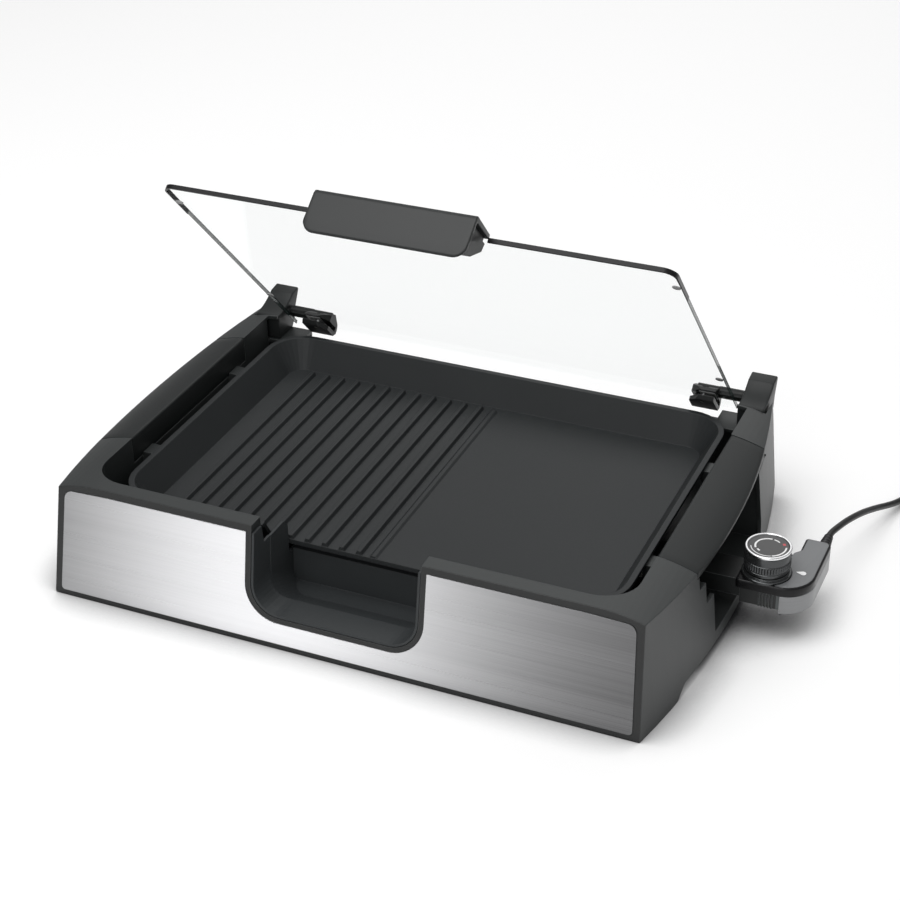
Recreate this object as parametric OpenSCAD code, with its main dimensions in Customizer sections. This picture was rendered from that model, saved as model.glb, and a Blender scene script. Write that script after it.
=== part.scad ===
// Electric indoor grill: a shallow non-stick plate in a black body with a steel
// front, under a hinged glass lid, with a plug-in thermostat and its cord.
// Millimetres, Z up. Pieces are drawn from the middle of the front bottom edge
// and framed() moves them to the middle of the object's floor area.

/* [Body] */
// Width of the body's front face at the floor
body_w = 480; // [450:5:520]
// Depth of the body from its front bottom edge to its back
body_d = 350; // [330:5:380]
// Height of the rim above the floor
body_h = 94; // [88:1:106]
// How far each side bows out beyond the front corners
side_bow = 20; // [12:1:28]
// How far each side leans in over the body's height
side_lean = 8.5; // [4:0.5:12]
// How far the front face leans back over the body's height
front_rake = 17; // [10:1:22]
// Thickness of the moulded walls
wall = 3; // [2:0.25:3.5]
// Height of the moulding above the floor at the front
foot_gap = 1; // [0.5:0.25:2]
// Length of the body that stands low at the front
low_front = 54; // [40:2:70]
// Height of the moulding above the floor behind that
rear_lift = 9; // [6:1:10]
// Distance from the middle line at which the rim starts to curve down
crown_start = 200; // [180:5:210]
// Radius of the rim's downward curve
crown_r = 131; // [110:5:180]
// Width of the rim at each side, from the floor width inwards
side_rim = 22; // [18:1:28]
// Depth of the rim behind the front face's top edge
front_rim = 13.5; // [11:0.5:18]
// Radius of the well's front corners
well_r = 28; // [20:1:36]
// Height of the top of the floor inside the well
well_floor = 11.5; // [10:0.5:13]
// Room between the well's rear bay and the body's back
rear_wall = 4; // [3:0.5:6]
// Height of the wall between the rear pillars
rear_wall_h = 62; // [50:1:64]
// Radius of the rubber feet
foot_r = 8; // [6:0.5:10]

/* [Steel front] */
// Width of the steel panel at its bottom edge
steel_w = 468; // [440:2:472]
// How much narrower the panel is at its top edge
steel_taper = 8; // [4:1:12]
// Height of the panel's bottom edge up the front face
steel_low = 4.6; // [3:0.2:8]
// Height of the panel's top edge up the front face
steel_high = 90; // [84:0.5:91]
// Thickness of the sheet
steel_t = 1; // [0.6:0.1:1.5]
// Depth of the recess that holds it
steel_recess = 0.6; // [0.3:0.1:1]
// Half width of the panel's notch for the grease chute
notch_half = 72.8; // [68:0.4:76]
// Height of the bottom of that notch
notch_low = 21.3; // [18:0.5:26]
// Radius of the notch's lower corners
notch_r = 28; // [22:1:32]
// Width of the black border between the notch and the chute
border = 4.4; // [3:0.2:6]

/* [Handles and posts] */
// Distance from the front edge to the front seam of a handle
handle_front = 94.2; // [88:1:104]
// Length of a handle
handle_len = 182.7; // [160:1:190]
// Height of a handle's underside at its inner edge
handle_low = 70; // [66:1:74]
// Gap of the seams round a handle
seam = 0.4; // [0.3:0.1:0.8]
// Height of the bottom rail of the side window
window_low = 18; // [14:1:24]
// Distance from the front edge to the rear end of the side window
window_rear = 250; // [240:1:256]
// Distance from the front edge to the front of a hinge post
post_front = 324; // [316:1:330]
// Inner face of a hinge post, from the middle line
post_in = 209.4; // [207:0.2:212]
// Width of a hinge post
post_w = 23.4; // [20:0.2:25]
// Height of a hinge post's tip
post_h = 103.4; // [98:0.2:110]
// Height of the shelf under the hinges
shelf_h = 70; // [64:1:71]

/* [Plate] */
// Room between the well's side and the inside of the plate's rim
plate_side_gap = 16.4; // [13:0.2:22]
// Distance from the front edge to the inside of the plate's front rim
plate_front = 48; // [44:1:52]
// Room between the inside of the plate's rear rim and the body's back
plate_rear_gap = 26; // [24:1:34]
// Depth of the plate's rim below the body's rim
plate_drop = 17; // [16.5:0.5:20]
// Depth of the plate
plate_depth = 24; // [18:1:26]
// How far the plate's walls lean in
plate_draft = 14; // [8:1:18]
// Thickness of the plate
plate_t = 4; // [3:0.5:5]
// Width of the plate's rim
plate_flange = 4.5; // [3:0.5:6]
// Radius of the plate's corners
plate_r = 28; // [20:1:34]
// Half width of the opening at the front of the plate
spout_half = 75; // [72:1:80]
// Number of cooking ribs
rib_count = 12; // [8:1:12]
// Distance between ribs
rib_pitch = 14.5; // [13:0.5:15]
// Height of the ribs
rib_h = 3; // [2:0.5:4]
// Width of a rib at its base
rib_w = 6; // [4:0.5:7]
// Distance of the dividing ridge from the middle line
ridge_x = 5; // [0:1:12]
// Diameter of the heating element's tube
element_d = 6.6; // [6:0.2:8]
// Distance of the plug socket's middle from the front edge
socket_y = 169; // [164:1:174]
// Height of the plug socket's middle
socket_z = 38; // [36:0.5:39]
// Diameter of the two contact pins
contact_d = 5; // [4:0.2:6]
// Distance between the two contact pins
contact_gap = 18; // [16:1:20]

/* [Grease tray] */
// Thickness of the tray's walls
tray_t = 2; // [1.5:0.25:2.5]
// Angle at which the tray slides up and out
tray_angle = 26.6; // [24:0.2:30]
// Downward angle of the chute
chute_angle = 5.6; // [3:0.2:8]
// Distance from the front edge to the tray's back
tray_back = 79; // [76:1:84]
// Room between the tray's back edge and the plate above it
tray_room = 7; // [7:0.5:12]
// Clearance round the tray
tray_gap = 0.4; // [0.3:0.1:0.8]
// How much narrower the tray is than its chute, each side
tray_step = 0.6; // [0.4:0.1:1]

/* [Lid] */
// Angle at which the lid stands open at rest
lid_rest = 47.2; // [20:0.2:90]
// How far the glass reaches past the plate's rim at each side
glass_over = 2.4; // [0:0.2:4]
// Thickness of the glass
glass_t = 3; // [3:0.5:4]
// Distance from the front edge to the glass's front edge when closed
glass_front = 67.4; // [64:0.2:70]
// Radius of the glass's front corners
glass_r = 10; // [6:1:20]
// Height of the closed glass above the plate's rim
glass_gap = 1; // [0.8:0.1:1.2]
// Distance of the hinge axis in front of the body's back
hinge_inset = 1.8; // [1:0.2:4]
// Height of the hinge axis above the closed glass's top face
hinge_rise = 6.4; // [6:0.1:7]
// Radius of the hinge barrel
barrel_r = 4.6; // [4:0.1:4.8]
// How far the glass reaches behind the hinge axis
glass_behind = 7.9; // [6:0.5:9]
// Room between a hinge clamp and its post, filled by the barrel
clamp_gap = 21.4; // [20.4:0.2:26]
// Width of a hinge clamp
clamp_w = 22; // [18:1:36]
// Diameter of a hinge pin
pin_d = 5; // [4:0.2:6]
// How far a hinge pin reaches into its post
pin_depth = 12; // [8:1:16]
// Running clearance of pins in their bores, on the radius
run_gap = 0.05; // [0.02:0.01:0.08]
// Half width of the lid's handle
grip_half = 64; // [58:1:66]
// Thickness of the handle's shell
grip_t = 3; // [2.5:0.25:3.5]

/* [Thermostat plug] */
// Distance of the knob's axis from the body's widest place
knob_gap = 20; // [18:1:26]
// Radius of the knob
knob_r = 17.5; // [15:0.5:18]
// Height of the knob's top face
knob_top = 71; // [68:1:76]
// Distance from the knob's axis to the plug's outer side
plug_reach = 36; // [34:1:42]
// Height of the plug's underside
plug_low = 24; // [22:0.5:26]
// Height of the plug's top face
plug_high = 48; // [47:0.5:50]
// Wall of the plug's shells
plug_wall = 2.2; // [1.8:0.1:2.6]
// Distance from the front edge to the plug's cord end
plug_rear = 224; // [220:1:244]
// Width of the plug's arm
arm_w = 20; // [18:1:28]
// Radius of the plug's outer corner
plug_corner = 24; // [16:1:25]
// Length of the strain relief
relief_len = 22; // [18:1:40]

/* [Cord] */
// Diameter of the cord
cord_d = 5.2; // [4.8:0.1:5.4]
// Mid radius of the coil's outer turns
coil_r = 37; // [36:1:42]
// Distance between turns side by side
coil_step = 6; // [5.8:0.1:7]
// Distance between layers
coil_rise = 5.9; // [5.8:0.1:7]
// Height of the coil's lowest turns above the floor
coil_lift = 1; // [0.8:0.1:1.5]
// How far the climbing turn dips towards the coil's middle
coil_dip = 2; // [1.6:0.1:3]
// Length of the mains plug's body
mains_len = 36; // [30:1:44]
// Length of its pins
mains_pin_len = 19; // [16:1:22]

/* [Hidden] */

fine = 64;
eps = 0.01;
far = 600;

// body
side_half = body_w / 2 + side_bow;
bow_r = (pow(body_d / 2, 2) + pow(side_bow, 2)) / (2 * side_bow);
rake_angle = atan(front_rake / body_h);
well_half = body_w / 2 - side_rim;
well_front = front_rake + front_rim;
bay_half = post_in - 19;
shelf_front = post_front - 2;
post_out = post_in + post_w;
chute_half = notch_half - border;
chute_low = notch_low + border - 0.4;
handle_rear = handle_front + handle_len;
inner_face = well_half + wall;
step_1 = handle_front + 14;
step_2 = handle_front + 28;
ledge_t = 5;
vent_len = 60;
vent_count = 11;
vent_pitch = 30;
bracket_h = 30;

// plate
plate_half = well_half - plate_side_gap;
plate_rear = body_d - plate_rear_gap;
rim_z = body_h - plate_drop;
cook_z = rim_z - plate_depth;
plate_under = cook_z - plate_t;
lip_y = plate_front + 18;
element_z = plate_under - element_d / 2;
element_bend = 24;
element_front = lip_y + 28;
element_rear = plate_rear - 2 * element_bend;
element_half = plate_half - plate_draft - 34;
block_x = plate_half - plate_draft - 12;
block_end = block_x + 14;
pin_end = well_half - 5;
pin_rows = [socket_y - contact_gap / 2, socket_y + contact_gap / 2];
probe_in = block_x - 78;
reflector_front = tray_back + 12;
reflector_half = element_half + 12;
reflector_h = 6;
pad_t = 0.8;
support_z = rim_z - 3 - pad_t;

// lid
glass_low = rim_z + glass_gap;
glass_high = glass_low + glass_t;
clamp_out = post_in - clamp_gap;
clamp_in = clamp_out - clamp_w;
hinge_y = body_d - hinge_inset;
hinge_z = glass_high + hinge_rise;
glass_rear = hinge_y + glass_behind;
glass_w = 2 * (plate_half + glass_over);
barrel_gap = 0.8;
barrel_out = post_in - barrel_gap;
clamp_mid = (clamp_in + clamp_out) / 2;
grip_y = glass_front - 30;
grip_top = glass_high + 4.4;
trim_lip = 0.3;
grip_low = glass_low - 27.4;

tray_top = plate_under - tray_room;
tray_high = body_h - 6;

// thermostat plug
knob_x = side_half + knob_gap;
plug_out = knob_x + plug_reach;
plug_r = knob_r + 2.5;
nose_half = 18;
nose_x = knob_x - 19;
nose_y = nose_half - plug_wall + 0.1;
nose_low = plug_low + 3;
split_x = knob_x + 15;
arm_in = plug_out - arm_w;
port_gap = 1.2;
housing_half_y = 14;
housing_half_z = 7.5;
shell_split = plug_low + 16.4;
plug_floor = plug_low + plug_wall;
plate_inlay = 0.8;
plug_roof = plug_high - plate_inlay - plug_wall;
cam_z = plug_roof - 2.9;
strip_z = cam_z - 1.8;
cord_z = socket_z;
screw_holes = [[plug_out - 9, socket_y - 4], [plug_out - 13, socket_y + 36]];
lamp_at = [plug_out - 10, socket_y + 6.7];
cord_x = plug_out - 7.5;
bezel_t = 3;
spindle_r = 3;
knob_low = plug_high + bezel_t + 0.4;

// cord: its free stretch as steps from the strain relief's end, then the coil
relief_end = plug_rear + relief_len;
coil_at = [cord_x + 77, relief_end + 172];
coil_z = cord_d / 2 + coil_lift;
cord_steps = [[0, 0, 38], [0.5, 7, 37.9], [2.7, 16, 37.3], [5.6, 28, 35.7], [8.5, 40, 33.2],
    [11.2, 52, 29.9], [14, 64, 26.1], [17, 76, 21.8], [20.2, 88, 17.3], [24, 100, 12.8],
    [28, 112, 8.8], [32, 124, 5.8], [35.6, 136, 4.2], [38.4, 148, 3.6]];
cord_path = concat(
    [for (p = cord_steps) [cord_x + p[0], relief_end + p[1], p[2] + min(1, p[2] / 38) * (cord_z - 38)]],
    [for (n = [2, 1]) [coil_at[0] - coil_r, coil_at[1] - n * cord_d, coil_z]]);
coil_turns = 4.5;
coil_rings = 24;
coil_tail = 16;

// the object's own box, without the cord
box_left = -side_x(body_d / 2, rear_lift);
box_right = plug_out;
box_rear = body_d + 14.6;
origin_x = (box_left + box_right) / 2;
origin_y = box_rear / 2;

module framed() {
    translate([-origin_x, -origin_y, 0]) children();
}

// how far a side falls back from its widest place, at depth y
function bow(y) = bow_r - sqrt(bow_r * bow_r - pow(y - body_d / 2, 2));
function side_x(y, z) = side_half - bow(y) - side_lean * z / body_h;
function front_y(z) = front_rake * z / body_h;
function crown_z(x) = x < crown_start ? body_h
    : body_h - crown_r + sqrt(crown_r * crown_r - pow(x - crown_start, 2));

// the body's outline at height z, drawn in by inset
function outline(z, inset) = let (n = 16, y0 = front_y(z) + inset, y1 = body_d - inset)
    concat([for (i = [0:n]) let (y = y0 + (y1 - y0) * i / n) [side_x(y, z) - inset, y]],
        [for (i = [0:n]) let (y = y1 - (y1 - y0) * i / n) [-side_x(y, z) + inset, y]]);

function arc(c, r, a0, a1, n) = [for (i = [0:n]) let (a = a0 + (a1 - a0) * i / n)
    [c[0] + r * cos(a), c[1] + r * sin(a)]];

function rounded_box(x0, y0, x1, y1, r, n = 8) = concat(
    arc([x1 - r, y0 + r], r, -90, 0, n), arc([x1 - r, y1 - r], r, 0, 90, n),
    arc([x0 + r, y1 - r], r, 90, 180, n), arc([x0 + r, y0 + r], r, 180, 270, n));

// the body's leaning, bowed form between two heights
module body_form(z0, z1, inset = 0) {
    hull() {
        translate([0, 0, z0]) linear_extrude(eps) polygon(outline(z0, inset));
        translate([0, 0, z1 - eps]) linear_extrude(eps) polygon(outline(z1, inset));
    }
}

// a shape drawn in X and Z, run along Y from y0 to y1
module along_y(y0, y1) {
    translate([0, y1, 0]) rotate([90, 0, 0]) linear_extrude(y1 - y0) children();
}

// a shape drawn in Y and Z, run along X from x0 to x1
module along_x(x0, x1) {
    translate([x0, 0, 0]) rotate([90, 0, 90]) linear_extrude(x1 - x0) children();
}

// a rod along X
module rod_x(x0, x1, y, z, r) {
    translate([x0, y, z]) rotate([0, 90, 0]) cylinder(r = r, h = x1 - x0, $fn = fine);
}

// everything under the crowned rim
module crown(drop = 0) {
    n = 12;
    reach = side_half + 1;
    right = [for (i = [0:n]) let (x = crown_start + (reach - crown_start) * i / n) [x, crown_z(x) - drop]];
    left = [for (i = [0:n]) let (x = reach - (reach - crown_start) * i / n) [-x, crown_z(x) - drop]];
    along_y(-1, body_d + 1) polygon(concat([[-reach, -1], [reach, -1]],
        [for (i = [0:n]) right[n - i]], [for (i = [0:n]) left[n - i]]));
}

// a U: a slot of half width hw, open at the top, with rounded lower corners
module u_shape(hw, low, r, top) {
    translate([-hw, low + r]) square([2 * hw, top - low - r]);
    translate([-hw + r, low]) square([2 * (hw - r), top - low]);
    for (side = [-1, 1]) translate([side * (hw - r), low + r]) circle(r = r, $fn = fine);
}

// the same U with its corners drawn in short straight steps
module u_steps(hw, low, r, top) {
    polygon(concat([[hw, top], [-hw, top]], arc([r - hw, low + r], r, 180, 270, 9),
        arc([hw - r, low + r], r, -90, 0, 9)));
}

// a sheet drawn on the raked front face: X, then the height up the face
module on_front() {
    rotate([90 - rake_angle, 0, 0]) children();
}

module mirrored() {
    children();
    mirror([1, 0, 0]) children();
}

module steel_outline(grow = 0) {
    difference() {
        polygon(concat(
            arc([steel_w / 2 - 3 + grow, steel_low + 3 - grow], 3, -90, 0, 4),
            arc([(steel_w - steel_taper) / 2 - 7 + grow, steel_high - 8 + grow], 7, 5, 80, 5),
            [[steel_w / 2 - 40, steel_high + grow], [40 - steel_w / 2, steel_high + grow]],
            arc([7 - (steel_w - steel_taper) / 2 - grow, steel_high - 8 + grow], 7, 100, 175, 5),
            arc([3 - steel_w / 2 - grow, steel_low + 3 - grow], 3, 180, 270, 4)));
        u_shape(notch_half - grow, notch_low + grow, notch_r, body_h + 9);
    }
}

// the well that holds the plate, grown by a wall
module well_plan(grow = 0) {
    difference() {
        polygon(rounded_box(-well_half - grow, well_front - grow, well_half + grow,
            body_d + 40, well_r + grow));
        translate([-far / 2, body_d - rear_wall + grow]) square([far, 80]);
        for (side = [-1, 1]) translate([side * (bay_half - grow + far / 4), shelf_front - grow + 60])
            square([far / 2, 120], center = true);
    }
}

// the part of the body above a handle's underside
module handle_zone(gap) {
    low = handle_low;
    along_y(handle_front - gap, handle_rear + gap)
        polygon([[well_half - gap - 0.5, low], [well_half + 10, low], [well_half + 22, low + 6],
            [well_half + 29, low + 9.5], [far / 2, low + 10], [far / 2, far / 4],
            [well_half - gap - 0.5, far / 4]]);
}

// boss that fills the hollow side from the floor to the rim
module boss(x, y, z, r) {
    translate([x, y, z]) cylinder(r = r, h = body_h, $fn = fine);
}

foot_spots = [[body_w / 2 - 15, 24], [body_w / 2 - 19, body_d - 16]];
rest_spots = [plate_front + 66, plate_rear - 70];
screw_spots = [handle_front + 7, handle_rear - 8];

// the hollow inside the walls, open below
module side_hollow() {
    difference() {
        intersection() {
            body_form(-1, body_h, wall);
            crown(wall);
        }
        translate([0, 0, -2]) linear_extrude(body_h + 4) well_plan(wall);
        translate([-chute_half - wall - 1, -5, -2])
            cube([2 * (chute_half + wall + 1), well_front + 5, body_h + 4]);
        mirrored() {
            for (spot = foot_spots) boss(spot[0], spot[1], -2, foot_r + 2.4);
            translate([well_half, handle_front - wall, -2]) cube([60, wall, body_h + 4]);
            translate([well_half, window_rear + 4, -2]) cube([60, wall, body_h + 4]);
            translate([well_half, handle_front - wall, handle_low - ledge_t]) cube([60, 17, ledge_t]);
            translate([well_half, window_rear + 4, handle_low - ledge_t])
                cube([60, handle_rear - window_rear - 1, ledge_t]);
            translate([well_half, handle_front - wall, window_low - wall])
                cube([60, window_rear + 4 + 2 * wall - handle_front, wall]);
            translate([bay_half - wall, shelf_front - wall, shelf_h - wall]) cube([70, 60, wall]);
        }
    }
}

// openings under the handles
module side_window() {
    along_x(inner_face + 0.5, side_half + 5) polygon([[handle_front + 3, 69], [step_1, 69], [step_1, 51],
        [step_2, 51], [step_2, window_low], [window_rear, window_low], [window_rear + 4, 34],
        [window_rear, handle_low + 14], [handle_front + 3, handle_low + 14]]);
}

module chute_tunnel(gap, rear) {
    translate([0, 0, chute_low]) rotate([-chute_angle, 0, 0]) translate([0, 0, -chute_low])
        along_y(-20, rear) u_shape(chute_half + gap, chute_low - gap, notch_r - border, body_h + 30);
}

module base_shell() {
    color([0.16, 0.17, 0.18]) framed() difference() {
        intersection() {
            body_form(foot_gap, body_h + 2);
            crown();
        }
        along_x(-far / 2, far / 2)
            polygon([[low_front, -5], [low_front, foot_gap], [low_front + 12, rear_lift],
                [far, rear_lift], [far, -5]]);
        translate([0, 0, well_floor]) linear_extrude(body_h) well_plan();
        side_hollow();
        translate([-bay_half, body_d - rear_wall - 1, rear_wall_h]) cube([2 * bay_half, 20, body_h]);
        chute_tunnel(0, well_front + 6);
        on_front() translate([0, 0, -steel_recess]) linear_extrude(20) steel_outline(0.25);
        mirrored() {
            handle_zone(seam);
            side_window();
            translate([-1, 0, 0]) along_x(bay_half, post_in + 1) polygon([[shelf_front - 5, shelf_h],
                [shelf_front - 5, body_h + 5], [far, body_h + 5], [far, shelf_h]]);
            translate([post_in - seam, post_front - seam, shelf_h]) cube([post_w + 2 * seam, 80, body_h]);
            for (spot = foot_spots) translate([spot[0], spot[1], -1])
                cylinder(r = foot_r + 0.1, h = (spot[1] < low_front ? foot_gap : rear_lift) + 5, $fn = fine);
            for (y = screw_spots) translate([well_half + 12, y, handle_low - 30])
                cylinder(r = 1.7, h = 31, $fn = fine);
        }
        translate([well_half - 1, socket_y - housing_half_y - port_gap, socket_z - housing_half_z - port_gap])
            cube([wall + 2, 2 * (housing_half_y + port_gap), 2 * (housing_half_z + port_gap)]);
        for (i = [1:vent_count])
            translate([(i - (vent_count + 1) / 2) * vent_pitch - 2, plate_rear - 110, -1])
                cube([4, vent_len, 30]);
        reflector_spots() cylinder(r = 1.3, h = 60, center = true, $fn = fine);
    }
    // brackets that carry the plate
    color([0.16, 0.17, 0.18]) framed() mirrored() for (y = rest_spots)
        along_y(y - 7, y + 7) polygon([[plate_half + 1.8, support_z], [well_half - 0.6, support_z],
            [well_half - 0.6, handle_low - 1], [well_half + 0.5, handle_low - 1],
            [well_half + 0.5, support_z - bracket_h], [plate_half + 1.8, support_z - 8]]);
}

module steel_front_panel() {
    color([0.76, 0.77, 0.78]) framed() on_front() translate([0, 0, -steel_recess])
        linear_extrude(steel_t) steel_outline();
}

module handle_cover() {
    difference() {
        intersection() {
            body_form(foot_gap, body_h + 2);
            crown();
            handle_zone(0);
            translate([well_half, handle_front, 0]) cube([far, handle_len, far]);
        }
        // hollow underside between the two fixed ends
        intersection() {
            body_form(foot_gap, body_h + 2, wall + 1);
            crown(wall);
            translate([inner_face + 1, handle_front + 20, 0]) cube([17, handle_len - 44, far]);
        }
        for (y = screw_spots) translate([well_half + 12, y, handle_low - 1])
            cylinder(r = 1.3, h = 11, $fn = fine);
    }
}

module left_handle() {
    color([0.20, 0.21, 0.22]) framed() mirror([1, 0, 0]) handle_cover();
}

module right_handle() {
    color([0.20, 0.21, 0.22]) framed() handle_cover();
}

// post with a rising, swept-back tip and the hinge pin's blind bore
module hinge_post() {
    top = crown_z(post_in + post_w / 2);
    difference() {
        intersection() {
            along_x(post_in, post_out) polygon(concat([[post_front, shelf_h], [body_d, shelf_h],
                [body_d + 6, shelf_h + 9], [body_d + 8, top - 4], [body_d + 14.6, post_h - 2.6],
                [body_d + 14, post_h]], [for (i = [0:12]) let (t = i / 12)
                [body_d + 3 - t * (body_d + 3 - post_front), top + (post_h - 1.6 - top) * pow(1 - t, 2)]]));
            hull() {
                translate([post_in, 0, 0]) cube([post_w, far, eps]);
                translate([post_in, 0, post_h]) cube([post_w - 1.6, far, eps]);
            }
        }
        rod_x(post_in - 1, post_in + pin_depth + 1, hinge_y, hinge_z, pin_d / 2 + run_gap);
        translate([post_in + 4, post_front + 4, shelf_h - 1]) cube([post_w - 8, 12, 14]);
    }
}

module left_hinge_post() {
    color([0.18, 0.19, 0.20]) framed() mirror([1, 0, 0]) hinge_post();
}

module right_hinge_post() {
    color([0.18, 0.19, 0.20]) framed() hinge_post();
}

// places of the screws that hold the reflector
module reflector_spots() {
    for (x = [reflector_half - 46, 46 - reflector_half]) for (y = [reflector_front + 39, plate_rear - 34])
        translate([x, y, 0]) children();
}

// bright tray under the element, standing on its turned-down skirt
module heat_reflector() {
    size = [2 * reflector_half, plate_rear - reflector_front, reflector_h];
    color([0.72, 0.73, 0.74]) framed() difference() {
        translate([-reflector_half, reflector_front, well_floor]) cube(size);
        translate([1 - reflector_half, reflector_front + 1, well_floor - 1]) cube(size - [2, 2, 0]);
        reflector_spots() cylinder(r = 2.2, h = 60, $fn = fine);
    }
}

module reflector_screws() {
    color([0.6, 0.6, 0.62]) framed() reflector_spots() {
        translate([0, 0, rear_lift + 0.4])
            cylinder(r = 1.25, h = well_floor + reflector_h + 0.2 - rear_lift, $fn = fine);
        translate([0, 0, well_floor + reflector_h]) cylinder(r = 3.2, h = 1.6, $fn = fine);
    }
}

// one slab of the plate, from a plan drawn in by inset
module plate_slab(z, inset) {
    translate([0, 0, z]) linear_extrude(eps) polygon(rounded_box(-plate_half + inset, plate_front + inset,
        plate_half - inset, plate_rear - inset, max(plate_r - inset, 10)));
}

module grill_plate() {
    rib_start = ridge_x - 12 - (rib_count - 1) * rib_pitch;
    rib_end = plate_rear - plate_draft - 6;
    color([0.15, 0.155, 0.16]) framed() difference() {
        union() {
            difference() {
                union() {
                    hull() {
                        plate_slab(rim_z - 2, -2.5);
                        plate_slab(plate_under, plate_draft - 1);
                    }
                    translate([0, 0, rim_z - 3]) linear_extrude(3) polygon(rounded_box(
                        -plate_half - plate_flange, plate_front - plate_flange, plate_half + plate_flange,
                        plate_rear + plate_flange, plate_r + plate_flange));
                }
                hull() {
                    plate_slab(rim_z, 0);
                    plate_slab(cook_z, plate_draft);
                }
            }
            for (i = [0:rib_count - 1]) let (x = rib_start + i * rib_pitch)
                along_y(lip_y + 1, rib_end) polygon([[x - rib_w / 2, cook_z - 0.5],
                    [x + rib_w / 2, cook_z - 0.5], [x + rib_w / 4, cook_z + rib_h],
                    [x - rib_w / 4, cook_z + rib_h]]);
            along_y(lip_y + 1, rib_end) polygon([[ridge_x - 4, cook_z - 0.5], [ridge_x + 4, cook_z - 0.5],
                [ridge_x + 1.5, cook_z + 1.4], [ridge_x - 1.5, cook_z + 1.4]]);
            translate([probe_in + 2, socket_y - 6, socket_z])
                cube([block_x - probe_in - 3, 12, plate_under - socket_z + 1]);
        }
        translate([-spout_half, 0, 0]) cube([2 * spout_half, lip_y, far]);
        rod_x(probe_in - 1, block_x, socket_y, socket_z, 3.6);
    }
}

// a quarter bend of the element's tube
module element_corner(at, turn) {
    translate([at[0], at[1], element_z]) rotate([0, 0, turn])
        rotate_extrude(angle = 90, $fn = fine) translate([element_bend, 0]) circle(d = element_d, $fn = 24);
}

module element_straight(from, to) {
    run = to - from;
    translate([from[0], from[1], element_z]) rotate([0, 0, atan2(run[1], run[0])]) rotate([0, 90, 0])
        cylinder(d = element_d, h = norm(run), $fn = 24);
}

// one loop round the plate's underside, its ends at the terminal block
module heating_element() {
    b = element_bend;
    e = element_half;
    y0 = element_front;
    y1 = element_rear;
    lead_0 = socket_y - contact_gap / 2 - 5;
    lead_1 = socket_y + contact_gap / 2 + 5;
    turn_x = block_x - b - 6;
    color([0.35, 0.35, 0.36]) framed() {
        element_straight([-e + b, y0], [turn_x - b, y0]);
        element_straight([-e + b, y1], [turn_x - b, y1]);
        element_straight([-e, y0 + b], [-e, y1 - b]);
        element_corner([-e + b, y0 + b], 180);
        element_corner([-e + b, y1 - b], 90);
        element_corner([turn_x - b, y0 + b], 270);
        element_corner([turn_x - b, y1 - b], 0);
        element_straight([turn_x, y0 + b], [turn_x, lead_0 - b]);
        element_straight([turn_x, y1 - b], [turn_x, lead_1 + b]);
        element_corner([turn_x + b, lead_0 - b], 90);
        element_corner([turn_x + b, lead_1 + b], 180);
        element_straight([turn_x + b, lead_0], [block_x, lead_0]);
        element_straight([turn_x + b, lead_1], [block_x, lead_1]);
    }
}

module terminal_block() {
    high = plate_under - socket_z + 6;
    color([0.85, 0.83, 0.78]) framed() difference() {
        translate([block_x, socket_y - 20, socket_z - 7]) cube([block_end - block_x, 40, high + 1]);
        for (y = pin_rows) rod_x(block_x + 4, block_end + 1, y, socket_z, contact_d / 2);
        rod_x(block_x - 1, block_end + 1, socket_y, socket_z, 3.5);
    }
}

module contact_pins() {
    color([0.8, 0.8, 0.82]) framed() for (y = pin_rows) {
        rod_x(block_x + 4, pin_end - 2, y, socket_z, contact_d / 2);
        translate([pin_end - 2, y, socket_z]) sphere(d = contact_d, $fn = fine);
    }
}

module probe_tube() {
    color([0.7, 0.7, 0.72]) framed() difference() {
        rod_x(probe_in, block_end + 3, socket_y, socket_z, 3.5);
        rod_x(probe_in + 2, block_end + 4, socket_y, socket_z, 2.5 + run_gap);
    }
}

module plate_rest_pads() {
    color([0.5, 0.5, 0.5]) framed() mirrored() for (y = rest_spots)
        translate([plate_half + 2.2, y - 5, support_z]) cube([plate_flange - 2.4, 10, pad_t]);
}

module front_feet() {
    color([0.08, 0.08, 0.08]) framed() mirrored() translate([foot_spots[0][0], foot_spots[0][1], 0])
        cylinder(r = foot_r, h = foot_gap + 3.8, $fn = fine);
}

module rear_feet() {
    color([0.08, 0.08, 0.08]) framed() mirrored() translate([foot_spots[1][0], foot_spots[1][1], 0])
        cylinder(r = foot_r, h = rear_lift + 3.8, $fn = fine);
}

module handle_screws() {
    low = handle_low - ledge_t;
    color([0.6, 0.6, 0.62]) framed() mirrored() for (y = screw_spots) {
        translate([well_half + 12, y, low - 1.8]) cylinder(r = 3, h = 1.8, $fn = fine);
        translate([well_half + 12, y, low]) cylinder(r = 1.25, h = 14, $fn = fine);
    }
}

// a U run from the front face to the knee, then a slightly narrower one down along the slide
module tray_solid(inset, front) {
    hw = chute_half - tray_gap - inset;
    low = chute_low + tray_gap + inset;
    r = notch_r - border - tray_gap - inset;
    knee = well_front + 1;
    translate([0, 0, chute_low]) rotate([-chute_angle, 0, 0]) translate([0, 0, -chute_low])
        along_y(front, knee + 2) u_steps(hw, low, r, body_h + 30);
    translate([0, knee, low - knee * tan(chute_angle)]) rotate([-tray_angle, 0, 0]) translate([0, 0, -low])
        along_y(-24, 80) u_steps(hw - tray_step, low, r - 3, body_h + 40);
}

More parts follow.
